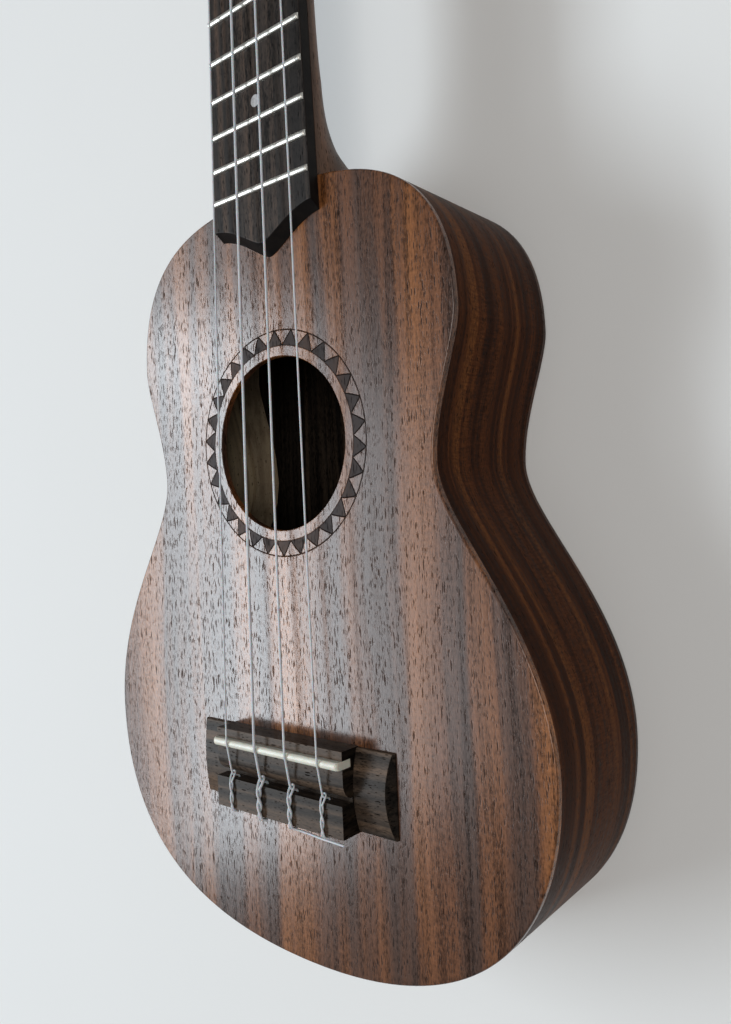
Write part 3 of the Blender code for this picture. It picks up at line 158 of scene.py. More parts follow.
def makeWoodFigure():
    tree, given, out = newGroup("woodFigure", {"Grain": None, **dict(zip(lookKeys, woodLooks["board"]))},
                                ("Color", "Roughness Gain", "Height", "Dullness"))
    s = woodForm
    x, y, z = parted(given["Grain"])
    wander = noise(stretched(given["Grain"], s["wanderSize"]))
    across = plus(x, times(minus(wander, 0.5), s["wander"]))
    place = joined(across, y, z)
    bandPlace = joined(divided(across, given["Band"]), times(y, s["bandRun"]),
                       divided(z, given["Band"]))
    bands = noise(bandPlace, 3.0, 0.45)
    warm = noise(stretched(bandPlace, s["warmSize"]), 1.0)
    shade = blendColour(fade(bands, *s["darkFade"]), given["Dark"], given["Middle"])
    light = times(fade(bands, *s["lightFade"]), fade(warm, *s["warmFade"]))
    shade = blendColour(light, shade, given["Light"])

    finer = stretched(place, s["streakSize"])
    streaks = noise(finer, 3.0, 0.6)
    fibres = noise(stretched(finer, s["fibreSize"]), 2.0, 0.6)
    lines = plus(minus(streaks, 0.5), minus(fibres, 0.5))
    cross = noise(stretched(place, s["crossSize"]), 2.0, 0.6, 0.6)
    crossMask = fade(noise(stretched(given["Grain"], s["crossPatch"]), 1.0), *s["crossFade"])
    gain = plus(calc("MULTIPLY_ADD", lines, given["Streaks"], 1.0),
                times(minus(cross, 0.5), crossMask, given["Cross Figure"]))
    shade = scaled(shade, gain)

    found = []
    for cell, length, shift, thick, dense in poreLayers:
        cells = addNode("TexVoronoi", {"Scale": 1.0, "Randomness": 1.0, "Vector": joined(
            divided(plus(across, shift), cell),
            divided(y, times(given["Pore Length"], length)), divided(z, cell))}).outputs
        chance, depth = addNode("SeparateColor", {0: cells["Color"]}).outputs[:2]
        present = calc("GREATER_THAN", times(given["Pores"], dense), chance)
        width = calc("MULTIPLY_ADD", depth, *(thick * share for share in s["poreWidths"]))
        hollow = fade(cells["Distance"], *(times(width, share) for share in s["poreEdge"]))
        found.append(times(hollow, present, calc("MULTIPLY_ADD", depth, *s["poreDepths"])))
    pores = larger(*found)
    hollows = times(larger(times(lines, -1.0), 0.0), given["Streaks"])
    hidden = times(hollows, s["hollowShade"])
    hole = larger(times(pores, s["poreShade"]), hidden)
    connect(blendColour(hole, shade, scaled(given["Dark"], s["deepest"])), out["Color"])
    connect(plus(times(pores, s["poreRough"]), times(lines, s["lineRough"])),
            out["Roughness Gain"])
    connect(minus(times(lines, s["lineHeight"]), times(pores, s["poreRough"])),
            out["Height"])
    connect(plus(times(pores, s["poreDull"]), hidden, clamp=True), out["Dullness"])
    return tree


# Ring of triangles burnt into the soundboard round its hole, between two thin lines

rosetteForm = dict(
    holeDown=0.0792, triangles=30, firstApex=5.9, baseRadius=0.03055, lineRadius=0.03535, lineWidth=0.0003,
    outerLine=1.1, innerLine=0.8, innerShade=0.7, fillColour=(0.016, 0.014, 0.014),
    lineColour=(0.008, 0.006, 0.005), shade=0.9, rough=0.3, dullness=(0.72, 0.95), relief=(0.3, 0.9))


def makeRosette():
    tree, given, out = newGroup("rosette", {"Place": None}, ("Fill", "Line"))
    s = rosetteForm
    base, line, half, soft = s["baseRadius"], s["lineRadius"], s["lineWidth"] / 2, s["lineWidth"] * 0.3
    x, y = parted(given["Place"])[:2]
    y = plus(y, s["holeDown"])
    radius = calc("SQRT", plus(times(x, x), times(y, y)))
    turns = times(minus(calc("ARCTAN2", y, x), radians(s["firstApex"])), s["triangles"] / tau)
    inCell = calc("ABSOLUTE", minus(calc("FRACT", plus(turns, 50.5)), 0.5))
    rise = divided(minus(radius, base), line - base)
    pitch = tau * (base + line) / 2 / s["triangles"]
    beside = times(minus(inCell, times(minus(1.0, rise), 0.5)), pitch * 0.8)
    band = times(fade(radius, base - soft, base + soft), fade(radius, line + soft, line - soft))
    connect(times(fade(beside, soft, -soft), band), out["Fill"])

    def thin(distance, share):
        return fade(calc("ABSOLUTE", distance), half * share + soft, half * share - soft * 0.5)

    edges = times(thin(beside, 1.0), band)
    outer, inner = thin(minus(radius, line), s["outerLine"]), thin(minus(radius, base), s["innerLine"])
    connect(larger(edges, outer, times(inner, s["innerShade"])), out["Line"])
    return tree


def burnRing(place, looks):
    s = rosetteForm
    ring = addNode("Group", {0: place}, node_tree=rosette).outputs
    fill, line = ring["Fill"], ring["Line"]
    shade = blendColour(times(fill, s["shade"]), looks["Color"], s["fillColour"])
    looks["Color"] = blendColour(times(line, s["shade"]), shade, s["lineColour"])
    looks["Roughness Gain"] = plus(looks["Roughness Gain"], times(plus(fill, line), s["rough"]))
    looks["Dullness"] = larger(looks["Dullness"], times(fill, s["dullness"][0]), times(line, s["dullness"][1]))
    carved = plus(times(fill, s["relief"][0]), times(line, s["relief"][1]))
    looks["Height"] = minus(looks["Height"], carved)


# Metal: fine drawn scratches and a faint cloud of handling

metalForm = dict(
    lineSize=(300.0, 9000.0, 6000.0), cloudSize=(320.0, 320.0, 320.0), cloudFade=(0.45, 0.75), darker=0.18,
    lineRough=0.4, cloudRough=0.12)


def makeDrawnMetal():
    tree, given, out = newGroup("drawnMetal", {"Place": None, "Colour": (0.7, 0.7, 0.7), "Scratch": 0.3},
                                ("Color", "Roughness Gain", "Height"))
    s = metalForm
    lines = noise(stretched(given["Place"], s["lineSize"]))
    cloud = noise(stretched(given["Place"], s["cloudSize"]), 3.0)
    scratches, dull = times(lines, given["Scratch"]), fade(cloud, *s["cloudFade"])
    connect(scaled(given["Colour"], minus(1.0, times(dull, s["darker"]))), out["Color"])
    connect(plus(times(scratches, s["lineRough"]), times(dull, s["cloudRough"])), out["Roughness Gain"])
    connect(scratches, out["Height"])
    return tree


# Bone, shell and plastic: cloudy colour with faint marks

cloudForm = dict(speckSize=(9.0, 9.0, 9.0), fade=(0.35, 0.65), rough=0.12)


def makeCloudy():
    tree, given, out = newGroup("cloudy", {"Place": None, "First": (0.8, 0.8, 0.7), "Second": (0.7, 0.7, 0.6),
                                           "Size": 400.0}, ("Color", "Roughness Gain", "Height"))
    place = scaled(given["Place"], given["Size"])
    cloud = noise(place, 3.0, 0.55, 0.4)
    specks = noise(stretched(place, cloudForm["speckSize"]))
    connect(blendColour(fade(cloud, *cloudForm["fade"]), given["First"], given["Second"]), out["Color"])
    connect(times(specks, cloudForm["rough"]), out["Roughness Gain"])
    connect(specks, out["Height"])
    return tree


woodFigure, rosette, drawnMetal, cloudy = makeWoodFigure(), makeRosette(), makeDrawnMetal(), makeCloudy()
grainTurns = {"x": (0, 0, pi / 2), "z": (pi / 2, 0, 0)}
finishes = {}


def addFinish(name, group, values, roughness, bump, along="y", **shaderValues):
    finishes[name] = bpy.data.materials.new(name)
    finishes[name].use_nodes = True
    building["tree"] = finishes[name].node_tree
    shader = building["tree"].nodes["Principled BSDF"].inputs
    if along == "uv":
        place = addNode("UVMap", uv_map="grain").outputs["UV"]
    else:
        place = addNode("TexCoord").outputs["Object"]
    if along in grainTurns:
        place = addNode("VectorRotate", {"Vector": place, "Rotation": grainTurns[along]},
                        rotation_type="EULER_XYZ").outputs[0]
    effect = addNode("Group", {0: place, **values}, node_tree=group)
    looks = dict(effect.outputs.items())
    if name == "soundboardWood":
        burnRing(place, looks)
    relief = addNode("Bump", {"Height": looks["Height"], "Distance": bump, "Strength": 1.0})
    connect(looks["Color"], shader["Base Color"])
    connect(plus(looks["Roughness Gain"], roughness, clamp=True), shader["Roughness"])
    connect(relief.outputs[0], shader["Normal"])
    if group == woodFigure:  # dark metal has no sheen, so pores and hollow fibres stay black in a glancing light
        connect(looks["Dullness"], shader["Metallic"])
    for key, value in shaderValues.items():
        shader[key.replace("_", " ")].default_value = value


woods = {  # look, roughness, bump, direction of the grain, strength of the reflection
    "soundboardWood": ("board", 0.22, 0.00006, "y", 0.5),
    # the ribs' outer faces: stained wood darkened further as painted shade
    "ribWood": ("rib", 0.42, 0.00006, "uv", 0.035),
    # the ribs' inner faces: raw wood with painted light on it, paler than the raw wood itself
    "ribInside": ("litInside", 0.6, 0.00005, "uv", 0.2),
    "backWood": ("back", 0.42, 0.00007, "y", 0.35),
    # the back's inner face: painted shade, near-black as in the dark of the body
    "backInside": ("end", 0.6, 0.00005, "y", 0.1),
    "neckWood": ("neck", 0.5, 0.00006, "y", 0.25),
    "fretboardWood": ("dark", 0.5, 0.00008, "y", 0.2),
    "bridgeWood": ("bridge", 0.46, 0.00008, "x", 0.18),
    # the bridge's end faces: painted shade, near-black on both ends
    "bridgeEnd": ("end", 0.5, 0.00008, "z", 0.08),
    "rawWood": ("raw", 0.62, 0.00005, "x", 0.5),
    "rawWoodAlong": ("raw", 0.62, 0.00005, "y", 0.5),
    "rawWoodUpright": ("raw", 0.62, 0.00005, "z", 0.5),
}
clouded = {  # two colours, size of the clouds, roughness, bump, reflection, depth and share of light that enters
    "blackPaint": ((0.006, 0.005, 0.005), (0.01, 0.008, 0.007), 300.0, 0.38, 0.00002, 0.08, 0.05, 0.0),
    "bone": ((0.7, 0.69, 0.6), (0.64, 0.63, 0.54), 350.0, 0.28, 0.000004, 0.5, 0.002, 0.15),
    "shell": ((0.5, 0.5, 0.5), (0.36, 0.37, 0.38), 900.0, 0.3, 0.000003, 0.5, 0.05, 0.0),
    "nylon": ((0.56, 0.59, 0.62), (0.5, 0.53, 0.56), 300.0, 0.34, 0.000001, 0.5, 0.0006, 0.3),
    "buttonPlastic": ((0.8, 0.78, 0.7), (0.72, 0.69, 0.6), 160.0, 0.2, 0.000003, 0.5, 0.003, 0.1),
}
metals = {  # colour, scratches, roughness, bump
    "nickel": ((0.66, 0.64, 0.6), 0.25, 0.2, 0.000002),
    "fretMetal": ((0.62, 0.6, 0.55), 0.35, 0.28, 0.000003),
    "wheelBrass": ((0.72, 0.5, 0.22), 0.4, 0.28, 0.000003),
}
for name, (look, rough, bump, along, reflection) in woods.items():
    values = dict(zip(lookKeys, woodLooks[look]))
    addFinish(name, woodFigure, values, rough, bump, along, Specular_IOR_Level=reflection)
for name, (first, second, size, rough, bump, reflection, depth, share) in clouded.items():
    addFinish(name, cloudy, {"First": first, "Second": second, "Size": size}, rough, bump,
              Specular_IOR_Level=reflection, Subsurface_Scale=depth, Subsurface_Weight=share)
for name, (colour, scratch, rough, bump) in metals.items():
    addFinish(name, drawnMetal, {"Colour": colour, "Scratch": scratch}, rough, bump, Metallic=1.0)
print("materials made")


# Mesh helpers

def addLoft(shape, rings, closed):
    rows = [[shape.verts.new(point) for point in ring] for ring in rings]
    count = len(rows[0])
    for row, following in zip(rows, rows[1:] + rows[:closed]):
        for i in range(count):
            j = (i + 1) % count
            shape.faces.new((row[i], row[j], following[j], following[i]))
    if not closed:
        shape.faces.new(rows[0][::-1])
        shape.faces.new(rows[-1])


def prismRings(outline, low, high):
    return [[(x, y, z) for x, y in outline] for z in (low, high)]


def arc(start, end, steps):  # cosines and sines on the way from start to end, both in half turns
    turns = [pi * (start + (end - start) * i / steps) for i in range(steps + 1)]
    return [(cos(turn), sin(turn)) for turn in turns]


def rounded(a, b, reachA, reachB, steps, end=0.5):
    return [(a - reachA * (1 - s), b - reachB * (1 - c)) for c, s in arc(0, end, steps)]


def circle(centre, radius, sides, axis="Z"):
    points = []
    for c, s in arc(0, 2, sides)[:-1]:
        a, b = radius * c, radius * s
        points.append(Vector(centre) + Vector({"X": (0, a, b), "Y": (b, 0, a), "Z": (a, b, 0)}[axis]))
    return points


def turnedRings(profile, sides, axis="Z"):
    return [circle((place, 0, 0) if axis == "X" else (0, 0, place), radius, sides, axis)
            for place, radius in profile]


def addObject(name, data):
    made = bpy.data.objects.new(name, data)
    scene.collection.objects.link(made)
    return made


def finalMesh(piece):
    bpy.context.view_layer.update()
    mesh = bpy.data.meshes.new_from_object(piece.evaluated_get(bpy.context.evaluated_depsgraph_get()))
    mesh.shade_smooth()
    return mesh


def makeMesh(name, shape, angle=32.0):
    bmesh.ops.recalc_face_normals(shape, faces=shape.faces[:])
    mesh = bpy.data.meshes.new(name)
    shape.to_mesh(mesh)
    shape.free()
    mesh.shade_smooth()
    mesh.set_sharp_from_angle(angle=radians(angle))
    return addObject(name, mesh)


def lofted(name, *lofts, angle=32.0, move=None, closed=False):
    shape = bmesh.new()
    for rings in lofts:
        addLoft(shape, rings, closed)
    if move:
        shape.transform(move)
    return makeMesh(name, shape, angle)


def cut(piece, *cutters, operation="DIFFERENCE", angle=32.0):
    for cutter in cutters:
        change = piece.modifiers.new("cut", "BOOLEAN")
        change.operation, change.solver, change.object = operation, "EXACT", cutter
    mesh = finalMesh(piece)
    piece.modifiers.clear()
    piece.data = mesh
    mesh.set_sharp_from_angle(angle=radians(angle))
    for cutter in cutters:
        bpy.data.objects.remove(cutter)


def soften(piece, width, segments=2, angle=30.0):
    rounding = piece.modifiers.new("soften", "BEVEL")
    rounding.width, rounding.segments = width, segments
    rounding.limit_method, rounding.angle_limit = "ANGLE", radians(angle)
    rounding.harden_normals = True


def splitFaces(piece, isSecond):
    for face in piece.data.polygons:
        face.material_index = 1 if isSecond(face.normal) else 0


def seat(piece, looks, slotName, *nodes, body="instrument"):
    for look in looks.split():
        piece.data.materials.append(finishes[look])
    piece.location.y += layout["slide"]
    piece.modifiers.new("evened", "WEIGHTED_NORMAL").keep_sharp = True
    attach(piece, body)
    if nodes:
        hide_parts(*nodes)


# Body outline: four curves on each side, smooth at every join

bodyOutline = dict(
    upper=(0.0669, -0.0483), waist=(0.058, -0.0888), lower=(0.0905, -0.1702), tail=(0.0, -0.2413),
    reaches=(0.0317, 0.045, 0.0086, 0.0147, 0.0175, 0.0376, 0.0352, 0.0713), steps=(40, 22, 40, 52))


def curvePoints(start, reachA, reachB, end, steps):
    points = []
    for i in range(1, steps + 1):
        t = i / steps
        s = 1 - t
        points.append(start * s**3 + reachA * (3 * s * s * t) + reachB * (3 * s * t * t) + end * t**3)
    return points


def halfOutline():
    knots = [Vector((0, 0))] + [Vector(bodyOutline[key]) for key in ("upper", "waist", "lower", "tail")]
    down, across, reaches = Vector((0, -1)), Vector((1, 0)), bodyOutline["reaches"]
    points = knots[:1]
    for i, steps in enumerate(bodyOutline["steps"]):
        a, b = knots[i], knots[i + 1]
        leave, arrive = down if i else across, across if i == 3 else -down
        points += curvePoints(a, a + leave * reaches[2 * i], b + arrive * reaches[2 * i + 1], b, steps)
    return points


def outlineNormals(points):
    chain = [Vector((-points[1].x, points[1].y)), *points, Vector((-points[-2].x, points[-2].y))]
    return [Vector((before.y - after.y, after.x - before.x)).normalized()
            for before, after in zip(chain, chain[2:])]


outlinePoints = halfOutline()
outlineSides = outlineNormals(outlinePoints)


def insetOutline(inset):
    treble = [p - n * inset for p, n in zip(outlinePoints, outlineSides)]
    return [(-p.x, p.y) for p in treble] + [(p.x, p.y) for p in treble[-2:0:-1]]


# Soundboard and back

plateForm = dict(
    round=0.0007, roundSteps=6, hole=0.0272, holeEdge=0.0004)


def plateRings(outer, inner):
    bend = plateForm["round"]
    rings = [[(x, y, inner) for x, y in insetOutline(0)]]
    for z, inset in rounded(outer, 0, bend if outer > inner else -bend, -bend, plateForm["roundSteps"]):
        rings.append([(x, y, z) for x, y in insetOutline(inset)])
    return rings


def makeSoundboard():
    board = lofted("soundboardTop", plateRings(top, top - layout["plate"]))
    hole, lip = plateForm["hole"], plateForm["holeEdge"]
    profile = [(top - 0.004, hole), (top - lip, hole), (top - lip * 0.3, hole + lip * 0.25),
               (top + lip * 0.2, hole + lip), (top + 0.002, hole + lip)]
    middle = Matrix.Translation((0, -rosetteForm["holeDown"], 0))
    cut(board, lofted("holeCutter", turnedRings(profile, 160), move=middle))
    seat(board, "soundboardWood", "soundboard_wood", "soundboard")


def makeBack():
    plate = lofted("backPlate", plateRings(0, layout["plate"]))
    # The inner face of the back takes a near-black finish: painted shade inside the body.
    splitFaces(plate, lambda normal: normal.z > 0.9)
    seat(plate, "backWood backInside", "rib_wood", "back_panel")


makeSoundboard()
makeBack()
print("soundboard and back made")


# Ribs: two bent strips that meet at the tail, their grain running round the body

ribForm = dict(
    thickness=0.0018, neckGap=0.0071, seam=0.00004, grainShift=0.3)


def makeRib(name, side):
    shape = bmesh.new()
    grain = shape.loops.layers.uv.new("grain")
    low, high, thick, seam = layout["plate"], top - layout["plate"], ribForm["thickness"], ribForm["seam"]
    travelled, last, rows = 0.0, outlinePoints[0], []
    for point, normal in zip(outlinePoints, outlineSides):
        travelled += (point - last).length
        last = point
        if point.y > -0.05 and point.x < ribForm["neckGap"]:
            continue
        inner = point - normal * thick
        x, ix = max(point.x, seam), max(inner.x, seam)
        corners = ((x, point.y, low), (x, point.y, high), (ix, inner.y, high), (ix, inner.y, low))
        rows.append((travelled, [shape.verts.new((side * cx, cy, cz)) for cx, cy, cz in corners]))
    shift = ribForm["grainShift"] if side < 0 else 0
    offsets = [u + shift for u in (low, high, high + thick, 2 * (high + thick) - low)]
    for (before, a), (after, b) in zip(rows, rows[1:]):
        for i in range(4):
            j = (i + 1) % 4
            face = shape.faces.new((a[i], a[j], b[j], b[i]))
            # the inner face takes the second finish: pale raw wood with painted light on it
            face.material_index = 1 if i == 2 else 0
            places = ((offsets[i], before), (offsets[j], before), (offsets[j], after), (offsets[i], after))
            for loop, place in zip(face.loops, places):
                loop[grain].uv = place
    shape.faces.new(rows[0][1])
    shape.faces.new(rows[-1][1])
    seat(makeMesh("rib" + name, shape), "ribWood ribInside", "rib_wood", "side_" + name.lower())


makeRib("Bass", -1)
makeRib("Treble", 1)
print("ribs made")


# Neck: an even shaft that flares into the heel, and the tilted headstock

neckForm = dict(
    nutHalf=0.01755, heelHalf=0.02145, depthNut=0.0118, depthHeel=0.0128, flareDepth=0.08, flareLength=0.0083,
    pointedY=0.012, roundY=0.03, capThickness=0.002, points=56, boardEnd=0.0116,
    stations=(0.036, 0.042, 0.052, 0.065, 0.09, 0.115, 0.145, nutY))
headForm = dict(
    tilt=radians(12.0), startY=nutY + 0.0051, length=0.098, thickness=0.011, corner=0.0016, blend=0.016,
    widths=((0.022, 0.0248), (0.05, 0.0236), (0.088, 0.0262)), evenLength=0.08, endRound=0.008,
    endNarrowing=0.0128, endTurn=82 / 180, postHole=0.0042)
headFrame = Matrix.Translation((0, headForm["startY"], top)) @ Matrix.Rotation(-headForm["tilt"], 4, "X")
tunerPlaces = {  # distance along the headstock, distance from its middle, side
    "g": (0.028, 0.0146, -1),
    "c": (0.066, 0.0146, -1),
    "e": (0.066, 0.0146, 1),
    "a": (0.028, 0.0146, 1),
}


def boardHalf(y):
    share = (y + neckForm["boardEnd"]) / (nutY + neckForm["boardEnd"])
    return neckForm["heelHalf"] + (neckForm["nutHalf"] - neckForm["heelHalf"]) * share


def neckDepth(y):
    shaft = neckForm["depthHeel"] + (neckForm["depthNut"] - neckForm["depthHeel"]) * y / nutY
    return shaft + neckForm["flareDepth"] * exp(-y / neckForm["flareLength"])


def neckFullness(y):
    share = (y - neckForm["pointedY"]) / (neckForm["roundY"] - neckForm["pointedY"])
    return 1.5 + 0.5 * min(max(share, 0), 1)


def signedPower(value, power):
    return copysign(abs(value) ** power, value)


def shaftSection(y):
    power, half, deepest = 2 / neckFullness(y), boardHalf(y), top - neckForm["capThickness"]
    return [Vector((half * signedPower(c, power), min(neckDepth(y) * s ** power, deepest)))
            for c, s in arc(0, 1, neckForm["points"] - 1)]


def eased(share):
    return share * share * (3 - 2 * share)


def headHalf(u):
    knots = ((0.0, boardHalf(nutY)), *headForm["widths"])
    for (ua, halfA), (ub, halfB) in zip(knots, knots[1:]):
        if u <= ub:
            return halfA + (halfB - halfA) * eased((u - ua) / (ub - ua))
    return knots[-1][1]


def headRing(half, u, shaft=None, share=1.0):
    bend, thick, ring = headForm["corner"], headForm["thickness"], []
    for i in range(neckForm["points"]):
        place = 11 * i / (neckForm["points"] - 1)
        side = 1 if place <= 5.5 else -1
        place = min(place, 11 - place)
        turn = pi * (place - 2) / 4
        x, depth = (half - bend) * (5.5 - place) / 1.5, thick
        if place <= 2:
            x, depth = half, (thick - bend) * place / 2
        elif place <= 4:
            x, depth = half - bend * (1 - cos(turn)), thick - bend * (1 - sin(turn))
        spot = Vector((side * x, depth))
        if shaft:
            spot = shaft[i].lerp(spot, share)
        ring.append(headFrame @ Vector((spot.x, u, -spot.y)))
    return ring


def bodyCutter():
    return lofted("bodyCutter", prismRings(insetOutline(0), -0.01, top + 0.01))


def makeNeck():
    f = headForm
    stations = [-0.003 + 0.0015 * i for i in range(24)] + [*neckForm["stations"]]
    rings = [[Vector((p.x, y, top - p.y)) for p in shaftSection(max(y, 0))] for y in stations]
    for i in range(45):
        u = f["evenLength"] * i / 44 + 0.0001
        share = min(u / f["blend"], 1)
        rings.append(headRing(headHalf(u), u, shaftSection(nutY), (eased(share) + share) / 2))
    end = rounded(f["length"], headHalf(f["length"]), f["endRound"], f["endNarrowing"], 12, f["endTurn"])
    rings += [headRing(half, u) for u, half in end[1:]]
    neck = lofted("neckShaft", rings)
    holes = [[circle((side * out, along, z), f["postHole"], 40) for z in (-0.03, 0.01)]
             for along, out, side in tunerPlaces.values()]
    cut(neck, bodyCutter(), lofted("postHoles", *holes, move=headFrame))
    seat(neck, "neckWood", "neck_wood", "neck")


def makeHeelCap():
    f = neckForm
    foot = top - f["capThickness"]
    reach = f["flareLength"] * log(f["flareDepth"] / (foot - f["depthHeel"]))
    right = []
    for _, s in arc(0, 0.5, 25)[:-1]:
        power = neckFullness(reach * s)
        share = max(1 - (foot / neckDepth(reach * s)) ** power, 0) ** (1 / power)
        right.append((boardHalf(reach * s) * share, reach * s))
    right.insert(0, (right[0][0], -0.002))
    outline = [*right, (0, reach)] + [(-x, y) for x, y in reversed(right)]
    cap = lofted("heelCap", prismRings(outline, 0, f["capThickness"]))
    cut(cap, bodyCutter())
    soften(cap, 0.0003)
    seat(cap, "fretboardWood", "dark_wood", "heel_cap")


makeNeck()
makeHeelCap()
print("neck made")


# Fretboard with its brace-shaped end, frets and dots

boardForm = dict(
    tipY=0.0208, tipReach=0.0035, cornerReach=(0.0087, 0.0006), bevelCorner=0.0026, bevelTip=0.0038, edge=0.00025)
fretForm = dict(
    count=12, width=0.002, height=0.001, foot=0.00012, inset=0.0004, slope=0.0006,
    ends=((0.0, 0.35), (0.25, 0.75), (0.6, 0.93), (1.0, 1.0)), arc=10, dotted=(5, 7, 10), dotRadius=0.0019)


def fretY(number):
    return layout["scaleLength"] * (2 ** (-number / 12) - 0.5)


def makeFretboard():
    f = boardForm
    corner, tip = Vector((boardHalf(-neckForm["boardEnd"]), -neckForm["boardEnd"])), Vector((0, -f["tipY"]))
    reaches = corner - Vector(f["cornerReach"]), tip + Vector((f["tipReach"], 0))
    rings = []
    for level, z in enumerate((top, boardTop)):
        right = [(neckForm["nutHalf"], nutY)]
        for point in [corner, *curvePoints(corner, *reaches, tip, 28)]:
            y = point.y + level * (f["bevelTip"] + (f["bevelCorner"] - f["bevelTip"]) * (point.x / corner.x))
            right.append((boardHalf(y) if point == corner else point.x, y))
        rings.append([(x, y, z) for x, y in right] + [(-x, y, z) for x, y in right[-2::-1]])
    board = lofted("fretboardBlank", rings, angle=28.0)
    splitFaces(board, lambda normal: normal.z <= 0.9)
    soften(board, f["edge"], angle=40.0)
    seat(board, "fretboardWood blackPaint", "dark_wood", "fretboard")


def makeFret(number):
    f = fretForm
    y, wide = fretY(number), f["width"] / 2
    rings = []
    for inset, lift in f["ends"]:
        x, rise = boardHalf(y) - f["inset"] - f["slope"] * inset, (f["height"] - f["foot"]) * lift
        crown = [(x, y + wide * c, boardTop + f["foot"] + rise * s ** 0.8)
                 for c, s in arc(1, 0, f["arc"])]
        rings.append([(x, y - wide, boardTop), *crown, (x, y + wide, boardTop)])
    rings += [[(-x, b, c) for x, b, c in ring] for ring in reversed(rings)]
    seat(lofted("fretWire%02d" % number, rings, angle=50.0), "fretMetal", "fret_metal", "fret_%02d" % number)


def makeDot(number):
    r = fretForm["dotRadius"]
    profile = [(boardTop - 0.001, r), (boardTop - 0.00002, r), (boardTop + 0.00004, r - 0.0001)]
    middle = Matrix.Translation((0, (fretY(number) + fretY(number - 1)) / 2, 0))
    dot = lofted("dotInlay%02d" % number, turnedRings(profile, 40), move=middle)
    seat(dot, "shell", "dot_shell", "dot_%02d" % number)


makeFretboard()
for fretNumber in range(1, fretForm["count"] + 1):
    makeFret(fretNumber)
for fretNumber in fretForm["dotted"]:
    makeDot(fretNumber)
print("fretboard made")


# Nut, bridge and saddle

stringGauges = {"g": 0.0006, "c": 0.00086, "e": 0.00074, "a": 0.0006}
nutForm = dict(
    front=0.0001, rear=0.0048, rise=0.0017, fall=0.0045 * tan(headForm["tilt"] * 1.6), seatRise=0.0011,
    spare=0.00012, spread=0.0093, frontRound=(0.0004, 0.0005), rearRound=0.0006)
bridgeForm = dict(
    half=0.0409, front=0.004, wingEdge=0.001, wingCrown=0.0032, wingRound=0.00018, facetSlope=0.65,
    centreHalf=0.0271, ridgeHeight=0.0076, ridgeWidth=0.0093, rampWidth=0.0048, channelHeight=0.0037,
    channelWidth=0.0014, tieHeight=0.0083, tieWidth=0.0097, holeRadius=0.0009, holeHeight=0.0053, edge=0.00022)
saddleForm = dict(
    half=0.0268, thickness=0.0025, height=0.0099, spread=0.0131, compensation=0.0015, crest=0.001, endRound=0.0009)
saddleY = -(layout["scaleLength"] / 2 + saddleForm["compensation"])
ridgeFrontY = saddleY + bridgeForm["front"]
rampTopY = ridgeFrontY - bridgeForm["ridgeWidth"]
tieFrontY = rampTopY - bridgeForm["rampWidth"] - bridgeForm["channelWidth"]
tieRearY = tieFrontY - bridgeForm["tieWidth"]
ridgeTop, channelTop, tieTop, holeLevel, saddleTop = (top + height for height in (
    bridgeForm["ridgeHeight"], bridgeForm["channelHeight"], bridgeForm["tieHeight"], bridgeForm["holeHeight"],
    saddleForm["height"]))


def stringX(index, y):
    share = (nutY - y) / (nutY - saddleY)
    return (index - 1.5) * (nutForm["spread"] + (saddleForm["spread"] - nutForm["spread"]) * share)


def makeNut():
    f = nutForm
    front, rear, high, fall = nutY + f["front"], nutY + f["rear"], boardTop + f["rise"], f["fall"]
    rise, reach = f["frontRound"]
    profile = [(top, front), (high - rise, front), *rounded(high, front, rise, -reach, 5)[1:],
               (high - 0.00005, front + 0.0012), (high - fall * 0.82, rear - 0.0009),
               *rounded(high - fall, rear, f["rearRound"], f["rearRound"], 5)[-2::-1], (top, rear)]
    nut = lofted("nutBlock", [[(x, y, z) for z, y in profile] for x in (-boardHalf(nutY), boardHalf(nutY))])
    notches = []
    for index, name in enumerate(stringNames):
        x, wide, rings = stringX(index, nutY), stringGauges[name] / 2 + f["spare"], []
        for y, drop in ((front - 0.001, 0.0), (rear + 0.001, fall)):
            floor = boardTop + f["seatRise"] - drop + wide
            rings.append([(x + wide * c, y, floor + wide * s) for c, s in arc(1, 2, 8)]
                         + [(x + wide * 1.3, y, high + 0.002), (x - wide * 1.3, y, high + 0.002)])
        notches.append(rings)
    cut(nut, lofted("nutNotches", *notches))
    seat(nut, "bone", "bone", "nut")


# Faces turned to either end of the bridge take its second, near-black finish: painted shade.
def paintShadeOnEnds(piece):
    splitFaces(piece, lambda normal: abs(normal.x) > 0.4)


